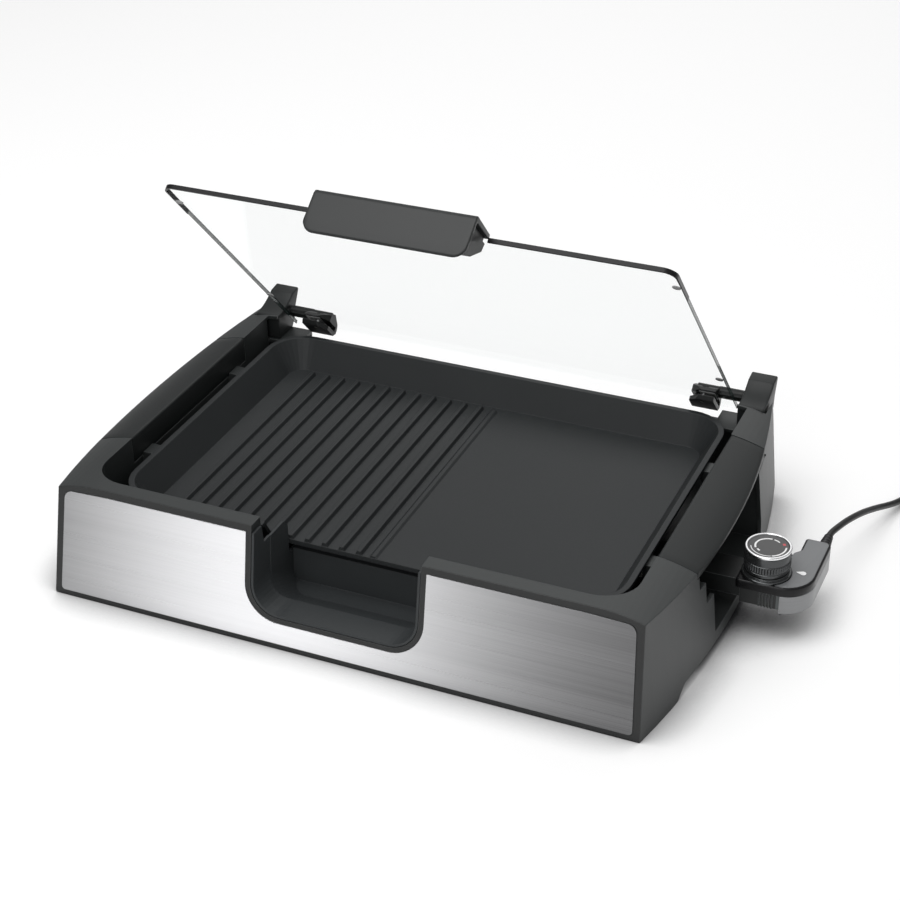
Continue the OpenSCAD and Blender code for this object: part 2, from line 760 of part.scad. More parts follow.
// side outline of the tray: open in front, its side walls stepping down before the plate's lip
module tray_clip(inset) {
    floor_in = well_floor + 1.2 + inset;
    over = 40 * inset;
    rear = lip_y - 1;
    wall_high = rim_z - 4;
    along_x(-far / 2, far / 2) polygon([[-over - 1, -20], [front_y(8) + 0.3 - over, 8],
        [front_y(tray_high) + 0.3 - over, tray_high + over], [well_front - 3, tray_high + over],
        [well_front - 1, wall_high + over],
        [rear - 6, wall_high + over], [rear, wall_high - 6 + over], [rear, tray_top + over],
        [tray_back - inset, tray_top + over], [tray_back - 8 - inset, floor_in],
        [well_front, floor_in], [well_front, -20]]);
}

module drip_tray() {
    color([0.13, 0.135, 0.14]) framed() difference() {
        intersection() {
            tray_solid(0, -20);
            tray_clip(0);
        }
        intersection() {
            tray_solid(tray_t, -60);
            tray_clip(tray_t);
        }
    }
}

// the lid's pieces are drawn closed and swung open about the hinge axis
module opened() {
    framed() translate([0, hinge_y, hinge_z]) rotate([-lid_rest, 0, 0])
        translate([0, -hinge_y, -hinge_z]) children();
}

module glass_lid() {
    half = glass_w / 2;
    corner = 4;
    color([0.85, 0.93, 0.92, 0.4]) opened() difference() {
        translate([0, 0, glass_low]) linear_extrude(glass_t) polygon(concat(
            arc([half - glass_r, glass_front + glass_r], glass_r, -90, 0, 8),
            arc([half - corner, glass_rear - corner], corner, 0, 90, 4),
            arc([corner - half, glass_rear - corner], corner, 90, 180, 4),
            arc([glass_r - half, glass_front + glass_r], glass_r, 180, 270, 8)));
        mirrored() translate([clamp_mid, hinge_y - 8, glass_low - 1])
            cylinder(r = 2.6, h = glass_t + 2, $fn = fine);
    }
}

module lid_edge_trim() {
    end = glass_w / 2 - glass_r;
    color([0.07, 0.07, 0.075]) opened() mirrored() difference() {
        translate([grip_half + 0.2, glass_front - 0.9, glass_low - trim_lip])
            cube([end - grip_half - 0.2, 5.4, glass_t + 2 * trim_lip]);
        translate([0, glass_front, glass_low]) cube([glass_w, 20, glass_t]);
    }
}

// outer shell of the handle: a broad front face with rounded lower corners, and the top
module lid_handle_grip() {
    inner = grip_y + grip_t + 0.3;
    color([0.19, 0.20, 0.205]) opened() difference() {
        intersection() {
            along_x(-grip_half, grip_half) polygon([[grip_y + 1.5, grip_top],
                [glass_front + 3, grip_top - 0.4], [glass_front + 3, glass_high],
                [inner, glass_high], [inner - 2.6, grip_low + 1.6],
                [grip_y - 1.6, grip_low], [grip_y - 3.4, grip_low + 0.8], [grip_y - 2.2, grip_low + 12],
                [grip_y, grip_top - 2]]);
            along_y(0, body_d) polygon(rounded_box(-grip_half, grip_low, grip_half, body_h + 60, 10));
        }
        for (x = [-grip_half + 18, grip_half - 18]) translate([x, glass_front - 8, 0])
            cylinder(r = 1.45, h = glass_high + 2.2, $fn = fine);
    }
}

// inner jaw that grips the glass from below and closes the shell
module lid_handle_core() {
    y0 = grip_y + grip_t + 0.3;
    color([0.09, 0.09, 0.095]) opened() difference() {
        along_x(-grip_half + 3, grip_half - 3) polygon([[y0, glass_high], [glass_front - 0.1, glass_high],
            [glass_front - 0.1, glass_low], [glass_front + 5, glass_low], [glass_front + 3, glass_low - 7],
            [y0 + 12, grip_low + 9], [y0 - 1.9, grip_low + 5]]);
        for (x = [-grip_half + 18, grip_half - 18]) {
            translate([x, glass_front - 8, 0]) cylinder(r = 1.5, h = far, $fn = fine);
            translate([x, glass_front - 8, 0]) cylinder(r = 3.2, h = glass_low - 4, $fn = fine);
        }
    }
}

module lid_handle_screws() {
    color([0.6, 0.6, 0.62]) opened() for (x = [-grip_half + 18, grip_half - 18]) {
        translate([x, glass_front - 8, glass_low - 5.8]) cylinder(r = 3, h = 1.8, $fn = fine);
        translate([x, glass_front - 8, glass_low - 4.2]) cylinder(r = 1.4, h = glass_t + 6.2, $fn = fine);
    }
}

// clamp on the glass's rear edge with the ribbed barrel that turns on the pin
module hinge_arm() {
    back = glass_rear + 4;
    difference() {
        union() {
            along_x(clamp_in, clamp_out) polygon([[hinge_y - 14, glass_low - 4.4],
                [hinge_y - 16, glass_low - 1], [hinge_y - 16, glass_high + 1],
                [hinge_y - 12, glass_high + 4.5], [hinge_y, hinge_z + barrel_r - 1],
                [back - 2, glass_high + 4], [back, glass_high], [back, glass_low - 1],
                [back - 4, glass_low - 4.4]]);
            rod_x(clamp_in + 3, barrel_out, hinge_y, hinge_z, barrel_r);
            for (a = [20:40:340]) translate([clamp_out - 1, hinge_y, hinge_z]) rotate([a, 0, 0])
                translate([0, barrel_r - 0.6, -0.6]) cube([clamp_gap - 0.2 - barrel_gap, 0.9, 1.2]);
        }
        translate([0, 0, glass_low - 0.6]) cube([far, glass_rear + 0.3, glass_t + 1.2]);
        translate([clamp_out, hinge_y - 20, glass_low - 6]) cube([far, far, glass_t + 6.2]);
        rod_x(clamp_out - 6, barrel_out + 1, hinge_y, hinge_z, pin_d / 2);
        translate([clamp_in - 1, 0, glass_low - 10]) linear_extrude(30)
            polygon([[0, hinge_y - 20], [0, hinge_y - 6], [clamp_w * 0.64, hinge_y - 20]]);
        translate([clamp_mid, hinge_y - 8, glass_low - 8]) cylinder(r = 1.5, h = 12, $fn = fine);
        translate([clamp_mid, hinge_y - 8, glass_high + 3]) cylinder(r = 3.1, h = 12, $fn = fine);
        translate([clamp_mid, hinge_y - 8, glass_high - 3]) cylinder(r = 1.5, h = 12, $fn = fine);
    }
}

module left_hinge_arm() {
    color([0.12, 0.12, 0.13]) opened() mirror([1, 0, 0]) hinge_arm();
}

module right_hinge_arm() {
    color([0.12, 0.12, 0.13]) opened() hinge_arm();
}

// thin gaskets between each clamp and the glass
module hinge_gaskets() {
    color([0.3, 0.3, 0.3]) opened() mirrored() for (z = [glass_low - 0.6, glass_high]) difference() {
        translate([clamp_in + clamp_w * 0.36, hinge_y - 13, z]) cube([clamp_w * 0.6, 19, 0.6]);
        translate([clamp_mid, hinge_y - 8, z - 1]) cylinder(r = 2.6, h = 3, $fn = fine);
    }
}

module hinge_screws() {
    color([0.6, 0.6, 0.62]) opened() mirrored() translate([clamp_mid, hinge_y - 8, 0]) {
        translate([0, 0, glass_high + 3]) cylinder(r = 2.9, h = 1.4, $fn = fine);
        translate([0, 0, glass_low - 4.3]) cylinder(r = 1.4, h = glass_t + 7.4, $fn = fine);
    }
}

module hinge_pin() {
    rod_x(clamp_out - 6, post_in + pin_depth, hinge_y, hinge_z, pin_d / 2);
}

module left_hinge_pin() {
    color([0.75, 0.75, 0.77]) opened() mirror([1, 0, 0]) hinge_pin();
}

module right_hinge_pin() {
    color([0.75, 0.75, 0.77]) opened() hinge_pin();
}

// soft buttons that keep the glass off the plate's rim
module lid_bumpers() {
    height = glass_gap - 0.3;
    color([0.3, 0.3, 0.3]) opened() mirrored() for (y = [glass_front + 26, glass_rear - 72])
        translate([plate_half - 1.4, y, glass_low - height]) cylinder(r = 3.2, h = height, $fn = fine);
}

// plan of the thermostat plug: a boss round the knob, a round corner and an arm to the cord
module plug_plan(inset = 0) {
    flat = plug_out - plug_corner;
    corner_y = socket_y - nose_half + plug_corner;
    translate([knob_x, socket_y]) circle(r = plug_r - inset, $fn = fine);
    translate([nose_x + inset, socket_y - nose_half + inset])
        square([flat - nose_x - inset, 2 * (nose_half - inset)]);
    translate([flat, corner_y]) circle(r = plug_corner - inset, $fn = fine);
    translate([arm_in + inset, corner_y]) square([arm_w - 2 * inset, plug_rear - corner_y - inset]);
}

// hollow lower half of the plug
module plug_tub() {
    difference() {
        translate([0, 0, plug_low]) linear_extrude(shell_split - plug_low) plug_plan();
        translate([0, 0, plug_floor]) linear_extrude(far) plug_plan(plug_wall);
    }
}

module cord_hole() {
    translate([cord_x, plug_rear - 20, cord_z]) rotate([-90, 0, 0]) cylinder(r = 4.6, h = 40, $fn = fine);
}

module screw_spots_in_plug() {
    for (spot = screw_holes) translate([spot[0], spot[1], 0]) children();
}

module plug_lower_shell() {
    color([0.52, 0.53, 0.54]) framed() difference() {
        union() {
            difference() {
                plug_tub();
                translate([split_x - far, socket_y + nose_y - far, -1]) cube(far);
            }
            screw_spots_in_plug() translate([0, 0, plug_low])
                cylinder(r = 3.2, h = shell_split - plug_low, $fn = fine);
        }
        cord_hole();
        screw_spots_in_plug() cylinder(r = 1.6, h = far, $fn = fine);
    }
}

module plug_upper_shell() {
    color([0.10, 0.10, 0.11]) framed() difference() {
        union() {
            difference() {
                translate([0, 0, shell_split])
                    linear_extrude(plug_high - plate_inlay - shell_split) plug_plan();
                translate([0, 0, shell_split - 1])
                    linear_extrude(plug_roof - shell_split + 1) plug_plan(plug_wall);
            }
            screw_spots_in_plug() translate([0, 0, shell_split])
                cylinder(r = 3.2, h = plug_roof - shell_split + 0.1, $fn = fine);
        }
        translate([0, socket_y - housing_half_y - 0.1, 0])
            cube([knob_x - 10, 2 * housing_half_y + 0.2, socket_z + housing_half_z + 0.1]);
        cord_hole();
        translate([knob_x, socket_y, 0]) cylinder(r = spindle_r + run_gap, h = far, $fn = fine);
        screw_spots_in_plug() translate([0, 0, shell_split - 1]) cylinder(r = 1.2, h = 6, $fn = fine);
    }
}

// satin plate let into the top of the arm, round the knob's bezel
module plug_top_plate() {
    color([0.42, 0.43, 0.45]) framed() difference() {
        translate([0, 0, plug_high - plate_inlay]) linear_extrude(plate_inlay) plug_plan(1);
        translate([knob_x, socket_y, 0]) cylinder(r = knob_r + 1.2, h = far, $fn = fine);
        translate([0, 0, plug_high - 2 * plate_inlay]) linear_extrude(far) lens_plan(0.1);
        translate([knob_x + 8 - far, socket_y - far, 0]) cube([far, far, far]);
        translate([knob_x - 8 - far, 0, 0]) cube([far, far, far]);
    }
}

// teardrop that points at the dial
module lens_plan(grow = 0) {
    polygon(concat(arc(lamp_at, 2.2 + grow, -110, 110, 12), [[lamp_at[0] - 5.4 - grow, lamp_at[1]]]));
}

module pilot_lens() {
    color([0.95, 0.95, 0.95]) framed() translate([0, 0, plug_high - plate_inlay])
        linear_extrude(plate_inlay + 0.4) lens_plan();
}

// nose that enters the body's side and carries the contacts; its hollow outer end has ribs
module contact_housing() {
    x0 = block_end + 1.2;
    x1 = knob_x - 12;
    high = shell_split - nose_low;
    color([0.10, 0.10, 0.11]) framed() difference() {
        union() {
            translate([x0, socket_y - housing_half_y, socket_z - housing_half_z])
                cube([x1 - x0, 2 * housing_half_y, 2 * housing_half_z]);
            difference() {
                translate([nose_x + 3.5, socket_y - nose_y, nose_low])
                    cube([split_x - nose_x - 3.5, 2 * nose_y, high]);
                translate([x1, socket_y - nose_y + plug_wall, nose_low + plug_wall])
                    cube([far, 2 * (nose_y - plug_wall), far]);
            }
            for (i = [0:4]) translate([split_x - 16 + i * 2.4, socket_y - nose_y - 0.9, nose_low])
                cube([1.2, 2, high]);
        }
        for (y = pin_rows) {
            rod_x(x0 - 1, inner_face + 12, y, socket_z, contact_d / 2 + 0.9);
            rod_x(inner_face, x1 + 1, y, socket_z, 2);
        }
        rod_x(x0 - 1, x1 + 1, socket_y, socket_z, 2.5);
        rod_x(x0 - 1, block_end + 3.5, socket_y, socket_z, 3.9);
    }
}

module contact_sleeves() {
    color([0.80, 0.66, 0.30]) framed() for (y = pin_rows) difference() {
        rod_x(block_end + 2, inner_face + 12, y, socket_z, contact_d / 2 + 0.9);
        rod_x(block_end + 1, inner_face + 8, y, socket_z, contact_d / 2 + run_gap);
    }
}

module probe_rod() {
    color([0.75, 0.75, 0.77]) framed() rod_x(probe_in + 3, knob_x - 14, socket_y, socket_z, 2.5);
}

module knob_bezel() {
    color([0.06, 0.06, 0.065]) framed() translate([knob_x, socket_y, plug_high - plate_inlay]) difference() {
        cylinder(r = knob_r + 1.1, h = bezel_t + plate_inlay, $fn = fine);
        translate([0, 0, -1]) cylinder(r = spindle_r + run_gap + 0.2, h = 20, $fn = fine);
    }
}

// the spindle's cam presses on the strip, which parts the blades
module bimetal_bracket() {
    base = nose_low + plug_wall;
    color([0.7, 0.7, 0.72]) framed() translate([knob_x - 10, socket_y - 4, base])
        cube([5, 8, strip_z - base]);
}

module bimetal_strip() {
    color([0.72, 0.55, 0.35]) framed() translate([knob_x - 10, socket_y - 3, strip_z])
        cube([plug_reach - 4, 6, 0.6]);
}

module switch_blades() {
    color([0.80, 0.66, 0.30]) framed() for (i = [0, 1])
        translate([plug_out - 10, socket_y + 14 + i * 9, plug_floor]) {
            cube([5, 5, 5 + i * 3]);
            translate([-7, 0, 5 + i * 3]) cube([12, 5, 0.5]);
        }
}

module pilot_lamp() {
    color([1, 0.6, 0.4]) framed() translate([lamp_at[0], lamp_at[1], plug_roof - 6])
        cylinder(r = 1.8, h = 6, $fn = fine);
}

module cord_clamp() {
    color([0.25, 0.25, 0.25]) framed() translate([cord_x, plug_rear - 14, 0]) difference() {
        translate([-4.8, 0, plug_floor]) cube([9.6, 7, cord_z + cord_d / 2 + 1.5 - plug_floor]);
        translate([0, -1, cord_z]) rotate([-90, 0, 0]) cylinder(r = cord_d / 2 + 0.1, h = 20, $fn = fine);
    }
}

module plug_screws() {
    color([0.6, 0.6, 0.62]) framed() screw_spots_in_plug() {
        translate([0, 0, plug_low]) cylinder(r = 1.15, h = shell_split - plug_low + 3.7, $fn = fine);
        translate([0, 0, plug_low - 1]) cylinder(r = 2.4, h = 1, $fn = fine);
    }
}

module knob_body() {
    color([0.07, 0.07, 0.075]) framed() translate([knob_x, socket_y, knob_low]) difference() {
        union() {
            cylinder(r = knob_r - 1.2, h = knob_top - 2 - knob_low, $fn = fine);
            translate([0, 0, 2]) cylinder(r = knob_r, h = knob_top - 4 - knob_low, $fn = fine);
        }
        translate([0, 0, -1]) cylinder(r = spindle_r, h = 10, $fn = fine);
        for (a = [0:10:350]) rotate([0, 0, a]) translate([knob_r + 0.5, 0, 1.9])
            cylinder(r = 1.1, h = (knob_top - knob_low) * 0.45, $fn = 16);
    }
}

module knob_ring() {
    color([0.85, 0.85, 0.86]) framed() translate([knob_x, socket_y, knob_top - 2]) difference() {
        cylinder(r = knob_r, h = 2, $fn = fine);
        translate([0, 0, -1]) cylinder(r = knob_r - 2.2, h = 4, $fn = fine);
    }
}

module knob_dial() {
    color([0.05, 0.05, 0.055]) framed() translate([knob_x, socket_y, knob_top - 2])
        cylinder(r = knob_r - 2.2, h = 1.4, $fn = fine);
}

module knob_spindle() {
    color([0.75, 0.75, 0.77]) framed() translate([knob_x, socket_y, cam_z])
        cylinder(r = spindle_r, h = knob_low + 9 - cam_z, $fn = fine);
}

module thermostat_cam() {
    color([0.85, 0.85, 0.8]) framed() translate([knob_x, socket_y, cam_z]) difference() {
        union() {
            cylinder(r = 5, h = 1.6, $fn = fine);
            translate([2.5, 0, 0]) cylinder(r = 4, h = 1.6, $fn = fine);
        }
        translate([0, 0, -1]) cylinder(r = spindle_r, h = 6, $fn = fine);
    }
}

// tapered sleeve where the cord leaves the plug, ringed by ribs
module strain_relief() {
    count = 4;
    pitch = (relief_len - 4) / count;
    neck = 4.4;
    collar = 5.8;
    ribs = [for (i = [0:count - 1]) let (y = 3 + i * pitch, r = 5.2 - 0.4 * i)
        each [[r - 0.6, y], [r - 0.6, y + 0.4 * pitch], [r, y + 0.5 * pitch], [r, y + 0.9 * pitch]]];
    color([0.06, 0.06, 0.065]) framed() translate([cord_x, plug_rear, cord_z]) rotate([-90, 0, 0])
        rotate_extrude($fn = fine) polygon(concat([[0, 0.2 - plug_wall], [neck, 0.2 - plug_wall], [neck, 0],
            [collar, 0], [collar, 2.5]], ribs, [[cord_d / 2 + 0.35, relief_len], [0, relief_len]]));
}

// tube swept through rings of points: each ring is square to the path there
function unit(v) = v / norm(v);
function tangent(path, i) = unit(path[min(i + 1, len(path) - 1)] - path[max(i - 1, 0)]);
function ring(c, t, r, sides) = let (side = unit(cross(t, [0, 0, 1])), up = cross(side, t))
    [for (k = [0:sides - 1]) let (a = 360 * k / sides) c + r * (cos(a) * side + sin(a) * up)];

module tube(path, r, sides) {
    n = len(path);
    points = [for (i = [0:n - 1]) each ring(path[i], tangent(path, i), r, sides)];
    walls = [for (i = [0:n - 2]) for (k = [0:sides - 1])
        let (a = i * sides + k, b = i * sides + (k + 1) % sides)
        each [[a, a + sides, b], [b, a + sides, b + sides]]];
    start = [for (k = [1:sides - 2]) [0, k, k + 1]];
    last = (n - 1) * sides;
    stop = [for (k = [1:sides - 2]) [last, last + k + 1, last + k]];
    polyhedron(points = points, faces = concat(walls, start, stop), convexity = 10);
}

// smooth curve through chosen points, with a few rings between each two
function curve_at(p, i, t) = let (a = p[max(i - 1, 0)], b = p[i], c = p[i + 1], d = p[min(i + 2, len(p) - 1)])
    0.5 * ((2 * b) + (c - a) * t + (2 * a - 5 * b + 4 * c - d) * t * t + (3 * b - a - 3 * c + d) * t * t * t);
function curve(p, n) = concat([for (i = [0:len(p) - 2]) for (k = [0:n - 1]) curve_at(p, i, k / n)],
    [p[len(p) - 1]]);

module cord_run() {
    color([0.05, 0.05, 0.055]) framed() tube(curve(cord_path, 2), cord_d / 2, 8);
}

// coil: spiral in on the floor, climb a layer in half a turn, spiral out on top
coil_in = (coil_turns - 0.5) / 2;
function coil_radius(t) = t < coil_in ? coil_r - coil_step * t
    : t > coil_in + 0.5 ? coil_r - coil_step * (coil_turns - t)
    : coil_r - coil_step * coil_in - coil_dip * pow(sin(360 * (t - coil_in)), 2);
function coil_height(t) = coil_z
    + coil_rise * (t < coil_in ? 0 : t > coil_in + 0.5 ? 1 : (1 - cos(360 * (t - coil_in))) / 2);
function coil_point(t) = [coil_at[0] - coil_radius(t) * cos(360 * t),
    coil_at[1] + coil_radius(t) * sin(360 * t), coil_height(t)];
coil_n = coil_rings * coil_turns;
coil_loops = [for (i = [0:coil_n]) coil_point(i / coil_rings)];
coil_end = coil_loops[coil_n];
coil_path = concat([coil_loops[0] - [0, cord_d, 0]], coil_loops,
    [coil_end - [0, coil_tail / 2, 0], coil_end - [0, coil_tail, 0]]);

// least distance between rings more than half a turn apart, less the cord's diameter
coil_gap = min([for (i = [0:coil_n]) for (j = [i + coil_rings / 2:coil_n])
    norm(coil_loops[i] - coil_loops[j])]) - cord_d;
echo(least_gap_in_coil = coil_gap);

module cord_coil() {
    color([0.05, 0.05, 0.055]) framed() tube(coil_path, cord_d / 2, 6);
}

module coil_tie() {
    r0 = coil_r - coil_step * coil_in - cord_d / 2 - 0.5;
    r1 = coil_r + cord_d / 2 + 0.5;
    top = coil_lift + cord_d + coil_rise + 0.5;
    color([0.9, 0.9, 0.88]) framed() translate([coil_at[0], coil_at[1], 0]) rotate([0, 0, 240]) difference() {
        translate([r0 - 0.8, -4, 0]) cube([r1 - r0 + 1.6, 8, top + 0.8]);
        translate([r0, -5, 0.7]) cube([r1 - r0, 10, top - 0.7]);
    }
}

module mains_plug_body() {
    at = coil_end - [0, coil_tail, 0];
    color([0.05, 0.05, 0.055]) framed() translate([at[0], at[1], at[2]]) rotate([90, 0, 0]) {
        rotate_extrude($fn = fine) polygon([[0, 0], [cord_d / 2 + 0.4, 0], [4.2, 2], [5.4, 14], [0, 14]]);
        difference() {
            translate([0, 0, 14]) linear_extrude(mains_len - 14) hull() {
                translate([-8, 0]) circle(r = 9.5, $fn = 32);
                translate([8, 0]) circle(r = 9.5, $fn = 32);
            }
            for (side = [-1, 1]) translate([side * 9.5, 0, mains_len - 8])
                cylinder(r = 2, h = 20, $fn = fine);
        }
    }
}

module mains_plug_pins() {
    at = coil_end - [0, coil_tail, 0];
    color([0.85, 0.85, 0.86]) framed() translate([at[0], at[1], at[2]]) rotate([90, 0, 0])
        for (side = [-1, 1]) translate([side * 9.5, 0, mains_len - 8]) {
            cylinder(r = 2, h = mains_pin_len + 6, $fn = fine);
            translate([0, 0, mains_pin_len + 6]) sphere(r = 2, $fn = fine);
        }
}

base_shell();
steel_front_panel();
left_handle();
right_handle();
left_hinge_post();
right_hinge_post();
heat_reflector();
grill_plate();
heating_element();
terminal_block();
contact_pins();
probe_tube();
plate_rest_pads();
front_feet();
rear_feet();
handle_screws();
reflector_screws();
drip_tray();
glass_lid();
lid_edge_trim();
lid_handle_grip();
lid_handle_core();
lid_handle_screws();
left_hinge_arm();
right_hinge_arm();
hinge_gaskets();
hinge_screws();
left_hinge_pin();
right_hinge_pin();
lid_bumpers();
plug_lower_shell();
plug_upper_shell();
plug_top_plate();
pilot_lens();
contact_housing();
contact_sleeves();
probe_rod();
knob_bezel();
bimetal_bracket();
bimetal_strip();
switch_blades();
pilot_lamp();
cord_clamp();
plug_screws();
knob_body();
knob_ring();
knob_dial();
knob_spindle();
thermostat_cam();
strain_relief();
cord_run();
cord_coil();
coil_tie();
mains_plug_body();
mains_plug_pins();
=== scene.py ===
"""Electric indoor grill with a glass lid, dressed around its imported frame.

Local places are measured in metres from the middle of the body's front bottom edge,
X to the right, Y to the back and Z up, and then moved to the frame.
"""

import math

import bpy
import numpy as np
from bpy.props import FloatProperty, FloatVectorProperty, IntProperty, PointerProperty
from bpy.types import Operator, Panel, PropertyGroup
from mathutils import Matrix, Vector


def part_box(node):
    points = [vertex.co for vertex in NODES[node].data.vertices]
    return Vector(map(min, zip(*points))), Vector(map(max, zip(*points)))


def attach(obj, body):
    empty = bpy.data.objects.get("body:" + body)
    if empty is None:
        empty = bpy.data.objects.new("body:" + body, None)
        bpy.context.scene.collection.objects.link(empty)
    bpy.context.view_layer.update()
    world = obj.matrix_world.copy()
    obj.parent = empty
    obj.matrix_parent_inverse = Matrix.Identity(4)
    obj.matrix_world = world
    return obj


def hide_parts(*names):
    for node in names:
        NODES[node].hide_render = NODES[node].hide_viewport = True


bl_info = {
    "name": "Table Grill",
    "version": (1, 0, 0),
    "blender": (4, 5, 0),
    "location": "View3D > Sidebar > Grill",
    "description": "Dresses an electric indoor grill with a glass lid",
    "category": "Object",
}

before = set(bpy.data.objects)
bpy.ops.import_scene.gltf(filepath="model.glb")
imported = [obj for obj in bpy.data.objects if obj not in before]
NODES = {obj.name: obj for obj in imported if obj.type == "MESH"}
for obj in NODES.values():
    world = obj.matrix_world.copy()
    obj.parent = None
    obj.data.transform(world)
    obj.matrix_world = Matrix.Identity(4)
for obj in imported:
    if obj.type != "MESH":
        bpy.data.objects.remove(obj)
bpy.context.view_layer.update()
LOW = {name: np.array(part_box(name)[0]) for name in NODES}
HIGH = {name: np.array(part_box(name)[1]) for name in NODES}
BODY_DEPTH = 0.350
FRONT_SLOPE = 0.017 / 0.094  # how far the front leans back for each metre of height
ORIGIN = np.array(
    [
        (LOW["base_shell"][0] + HIGH["base_shell"][0]) / 2,
        HIGH["base_shell"][1] - BODY_DEPTH,
        0.0,
    ]
)


def local(name):
    """Lowest and highest corner of a node, from the middle of the front bottom edge."""
    return LOW[name] - ORIGIN, HIGH[name] - ORIGIN


# Sizes and colours


class BodySettings(PropertyGroup):
    """The body's leaning, bowed and crowned form, which the handles follow."""

    width: FloatProperty(
        name="Width", description="Width at the front corners", default=0.480, unit="LENGTH"
    )
    height: FloatProperty(
        name="Height", description="Height of the rim", default=0.094, unit="LENGTH"
    )
    side_bow: FloatProperty(
        name="Side bow", description="Swell of the sides", default=0.020, unit="LENGTH"
    )
    side_lean: FloatProperty(
        name="Side lean", description="Inward lean of the sides", default=0.0085, unit="LENGTH"
    )
    crown_start: FloatProperty(
        name="Crown start", description="Where the rim turns down", default=0.200, unit="LENGTH"
    )
    crown_radius: FloatProperty(
        name="Crown radius", description="Radius of the rim's turn", default=0.131, unit="LENGTH"
    )
    edge: FloatProperty(
        name="Edge", description="Radius of the handles' edges", default=0.0012, unit="LENGTH"
    )


class LidSettings(PropertyGroup):
    """The lid's handle and edge trim, drawn closed and then swung open."""

    rest_angle: FloatProperty(
        name="Rest angle", description="Opening at rest",
        default=math.radians(47.2), unit="ROTATION",
    )
    glass_front: FloatProperty(
        name="Glass front", description="Front edge of the closed glass",
        default=0.0674, unit="LENGTH",
    )
    glass_low: FloatProperty(
        name="Glass underside", description="Height of the closed glass",
        default=0.078, unit="LENGTH",
    )
    glass_thickness: FloatProperty(
        name="Glass thickness", description="Thickness of the glass", default=0.003, unit="LENGTH"
    )
    glass_width: FloatProperty(
        name="Glass width", description="Width of the glass", default=0.408, unit="LENGTH"
    )
    corner: FloatProperty(
        name="Glass corner", description="Radius of the front corners", default=0.010, unit="LENGTH"
    )
    grip_half: FloatProperty(
        name="Grip half width", description="Half width of the handle", default=0.064, unit="LENGTH"
    )
    grip_corner: FloatProperty(
        name="Grip corner", description="Radius of its lower corners", default=0.010, unit="LENGTH"
    )


class PlugSettings(PropertyGroup):
    """The thermostat plug, its knob and its cord."""

    knurls: IntProperty(name="Knurls", description="Ribs round the knob", default=54)
    shoulder: FloatProperty(
        name="Shoulder", description="Rounding of the top edge", default=0.0014, unit="LENGTH"
    )
    cord_diameter: FloatProperty(
        name="Cord diameter", description="Diameter of the lead", default=0.0052, unit="LENGTH"
    )
    cord_length: FloatProperty(
        name="Cord length", description="Length of the lead", default=1.051, unit="LENGTH"
    )
    coil_radius: FloatProperty(
        name="Coil radius", description="Mid radius of the outer turns",
        default=0.037, unit="LENGTH",
    )
    coil_turns: FloatProperty(name="Coil turns", description="Turns in the coil", default=4.5)


class FinishSettings(PropertyGroup):
    """Colours of the finishes."""

    plastic: FloatVectorProperty(
        name="Body plastic", description="Satin charcoal",
        subtype="COLOR", default=(0.026, 0.029, 0.029),
    )
    gloss: FloatVectorProperty(
        name="Dark trim", description="Glossy black", subtype="COLOR", default=(0.010, 0.010, 0.011)
    )
    steel: FloatVectorProperty(
        name="Steel", description="Brushed steel", subtype="COLOR", default=(0.60, 0.60, 0.61)
    )
    # The steel's painted sheen: where its middle lies and how far it spreads.
    sheen_place: FloatProperty(
        name="Sheen place", description="Middle of the steel's sheen", default=-0.050, unit="LENGTH"
    )
    sheen_width: FloatProperty(
        name="Sheen width", description="Spread of the steel's sheen", default=0.165, unit="LENGTH"
    )
    nonstick: FloatVectorProperty(
        name="Coating", description="Non-stick coating",
        subtype="COLOR", default=(0.019, 0.021, 0.022),
    )
    silver: FloatVectorProperty(
        name="Plug silver", description="Silver-gray paint",
        subtype="COLOR", default=(0.24, 0.243, 0.247),
    )


class StageSettings(PropertyGroup):
    """The camera and the light."""

    camera_place: FloatVectorProperty(
        name="Camera place",
        description="Camera, from the middle of the front bottom edge",
        subtype="TRANSLATION",
        default=(0.54994, -1.00332, 0.87084),
    )
    heading: FloatProperty(
        name="Heading", description="Turn from straight back",
        default=math.radians(24.16), unit="ROTATION",
    )
    tilt: FloatProperty(
        name="Tilt", description="Downward look", default=math.radians(31.13), unit="ROTATION"
    )
    roll: FloatProperty(
        name="Roll", description="Roll of the camera", default=math.radians(-1.07), unit="ROTATION"
    )
    lens: FloatProperty(name="Lens", description="Focal length in millimetres", default=77.28)


# Outlines and surfaces


def rounded(corners, radii, steps):
    """Closed outline: at each corner an arc of its radius touches both sides, the sides run
    straight; a corner without a bend stays a point."""
    corner = np.array(corners, float)
    back = np.roll(corner, 1, 0) - corner
    ahead = np.roll(corner, -1, 0) - corner
    back /= np.linalg.norm(back, axis=1, keepdims=True)
    ahead /= np.linalg.norm(ahead, axis=1, keepdims=True)
    spread = np.linalg.norm(back + ahead, axis=1)
    radius = np.where(spread > 1e-4, np.array(radii, float), 0.0)
    half = 0.5 * np.arccos(np.clip((back * ahead).sum(1), -1, 1))
    middle = (back + ahead) / np.maximum(spread, 1e-9)[:, None]
    centre = corner + middle * (radius / np.sin(half))[:, None]
    first = corner + back * (radius / np.tan(half))[:, None] - centre
    last = corner + ahead * (radius / np.tan(half))[:, None] - centre
    start = np.arctan2(first[:, 1], first[:, 0])
    cross = first[:, 0] * last[:, 1] - first[:, 1] * last[:, 0]
    swept = np.arctan2(cross, (first * last).sum(1))
    angle = start[:, None] + swept[:, None] * np.linspace(0, 1, steps)
    spokes = np.stack([np.cos(angle), np.sin(angle)], -1) * radius[:, None, None]
    outline = (centre[:, None] + spokes).reshape(-1, 2)
    step = np.linalg.norm(outline - np.roll(outline, 1, 0), axis=1)
    return outline[step > 1e-7]


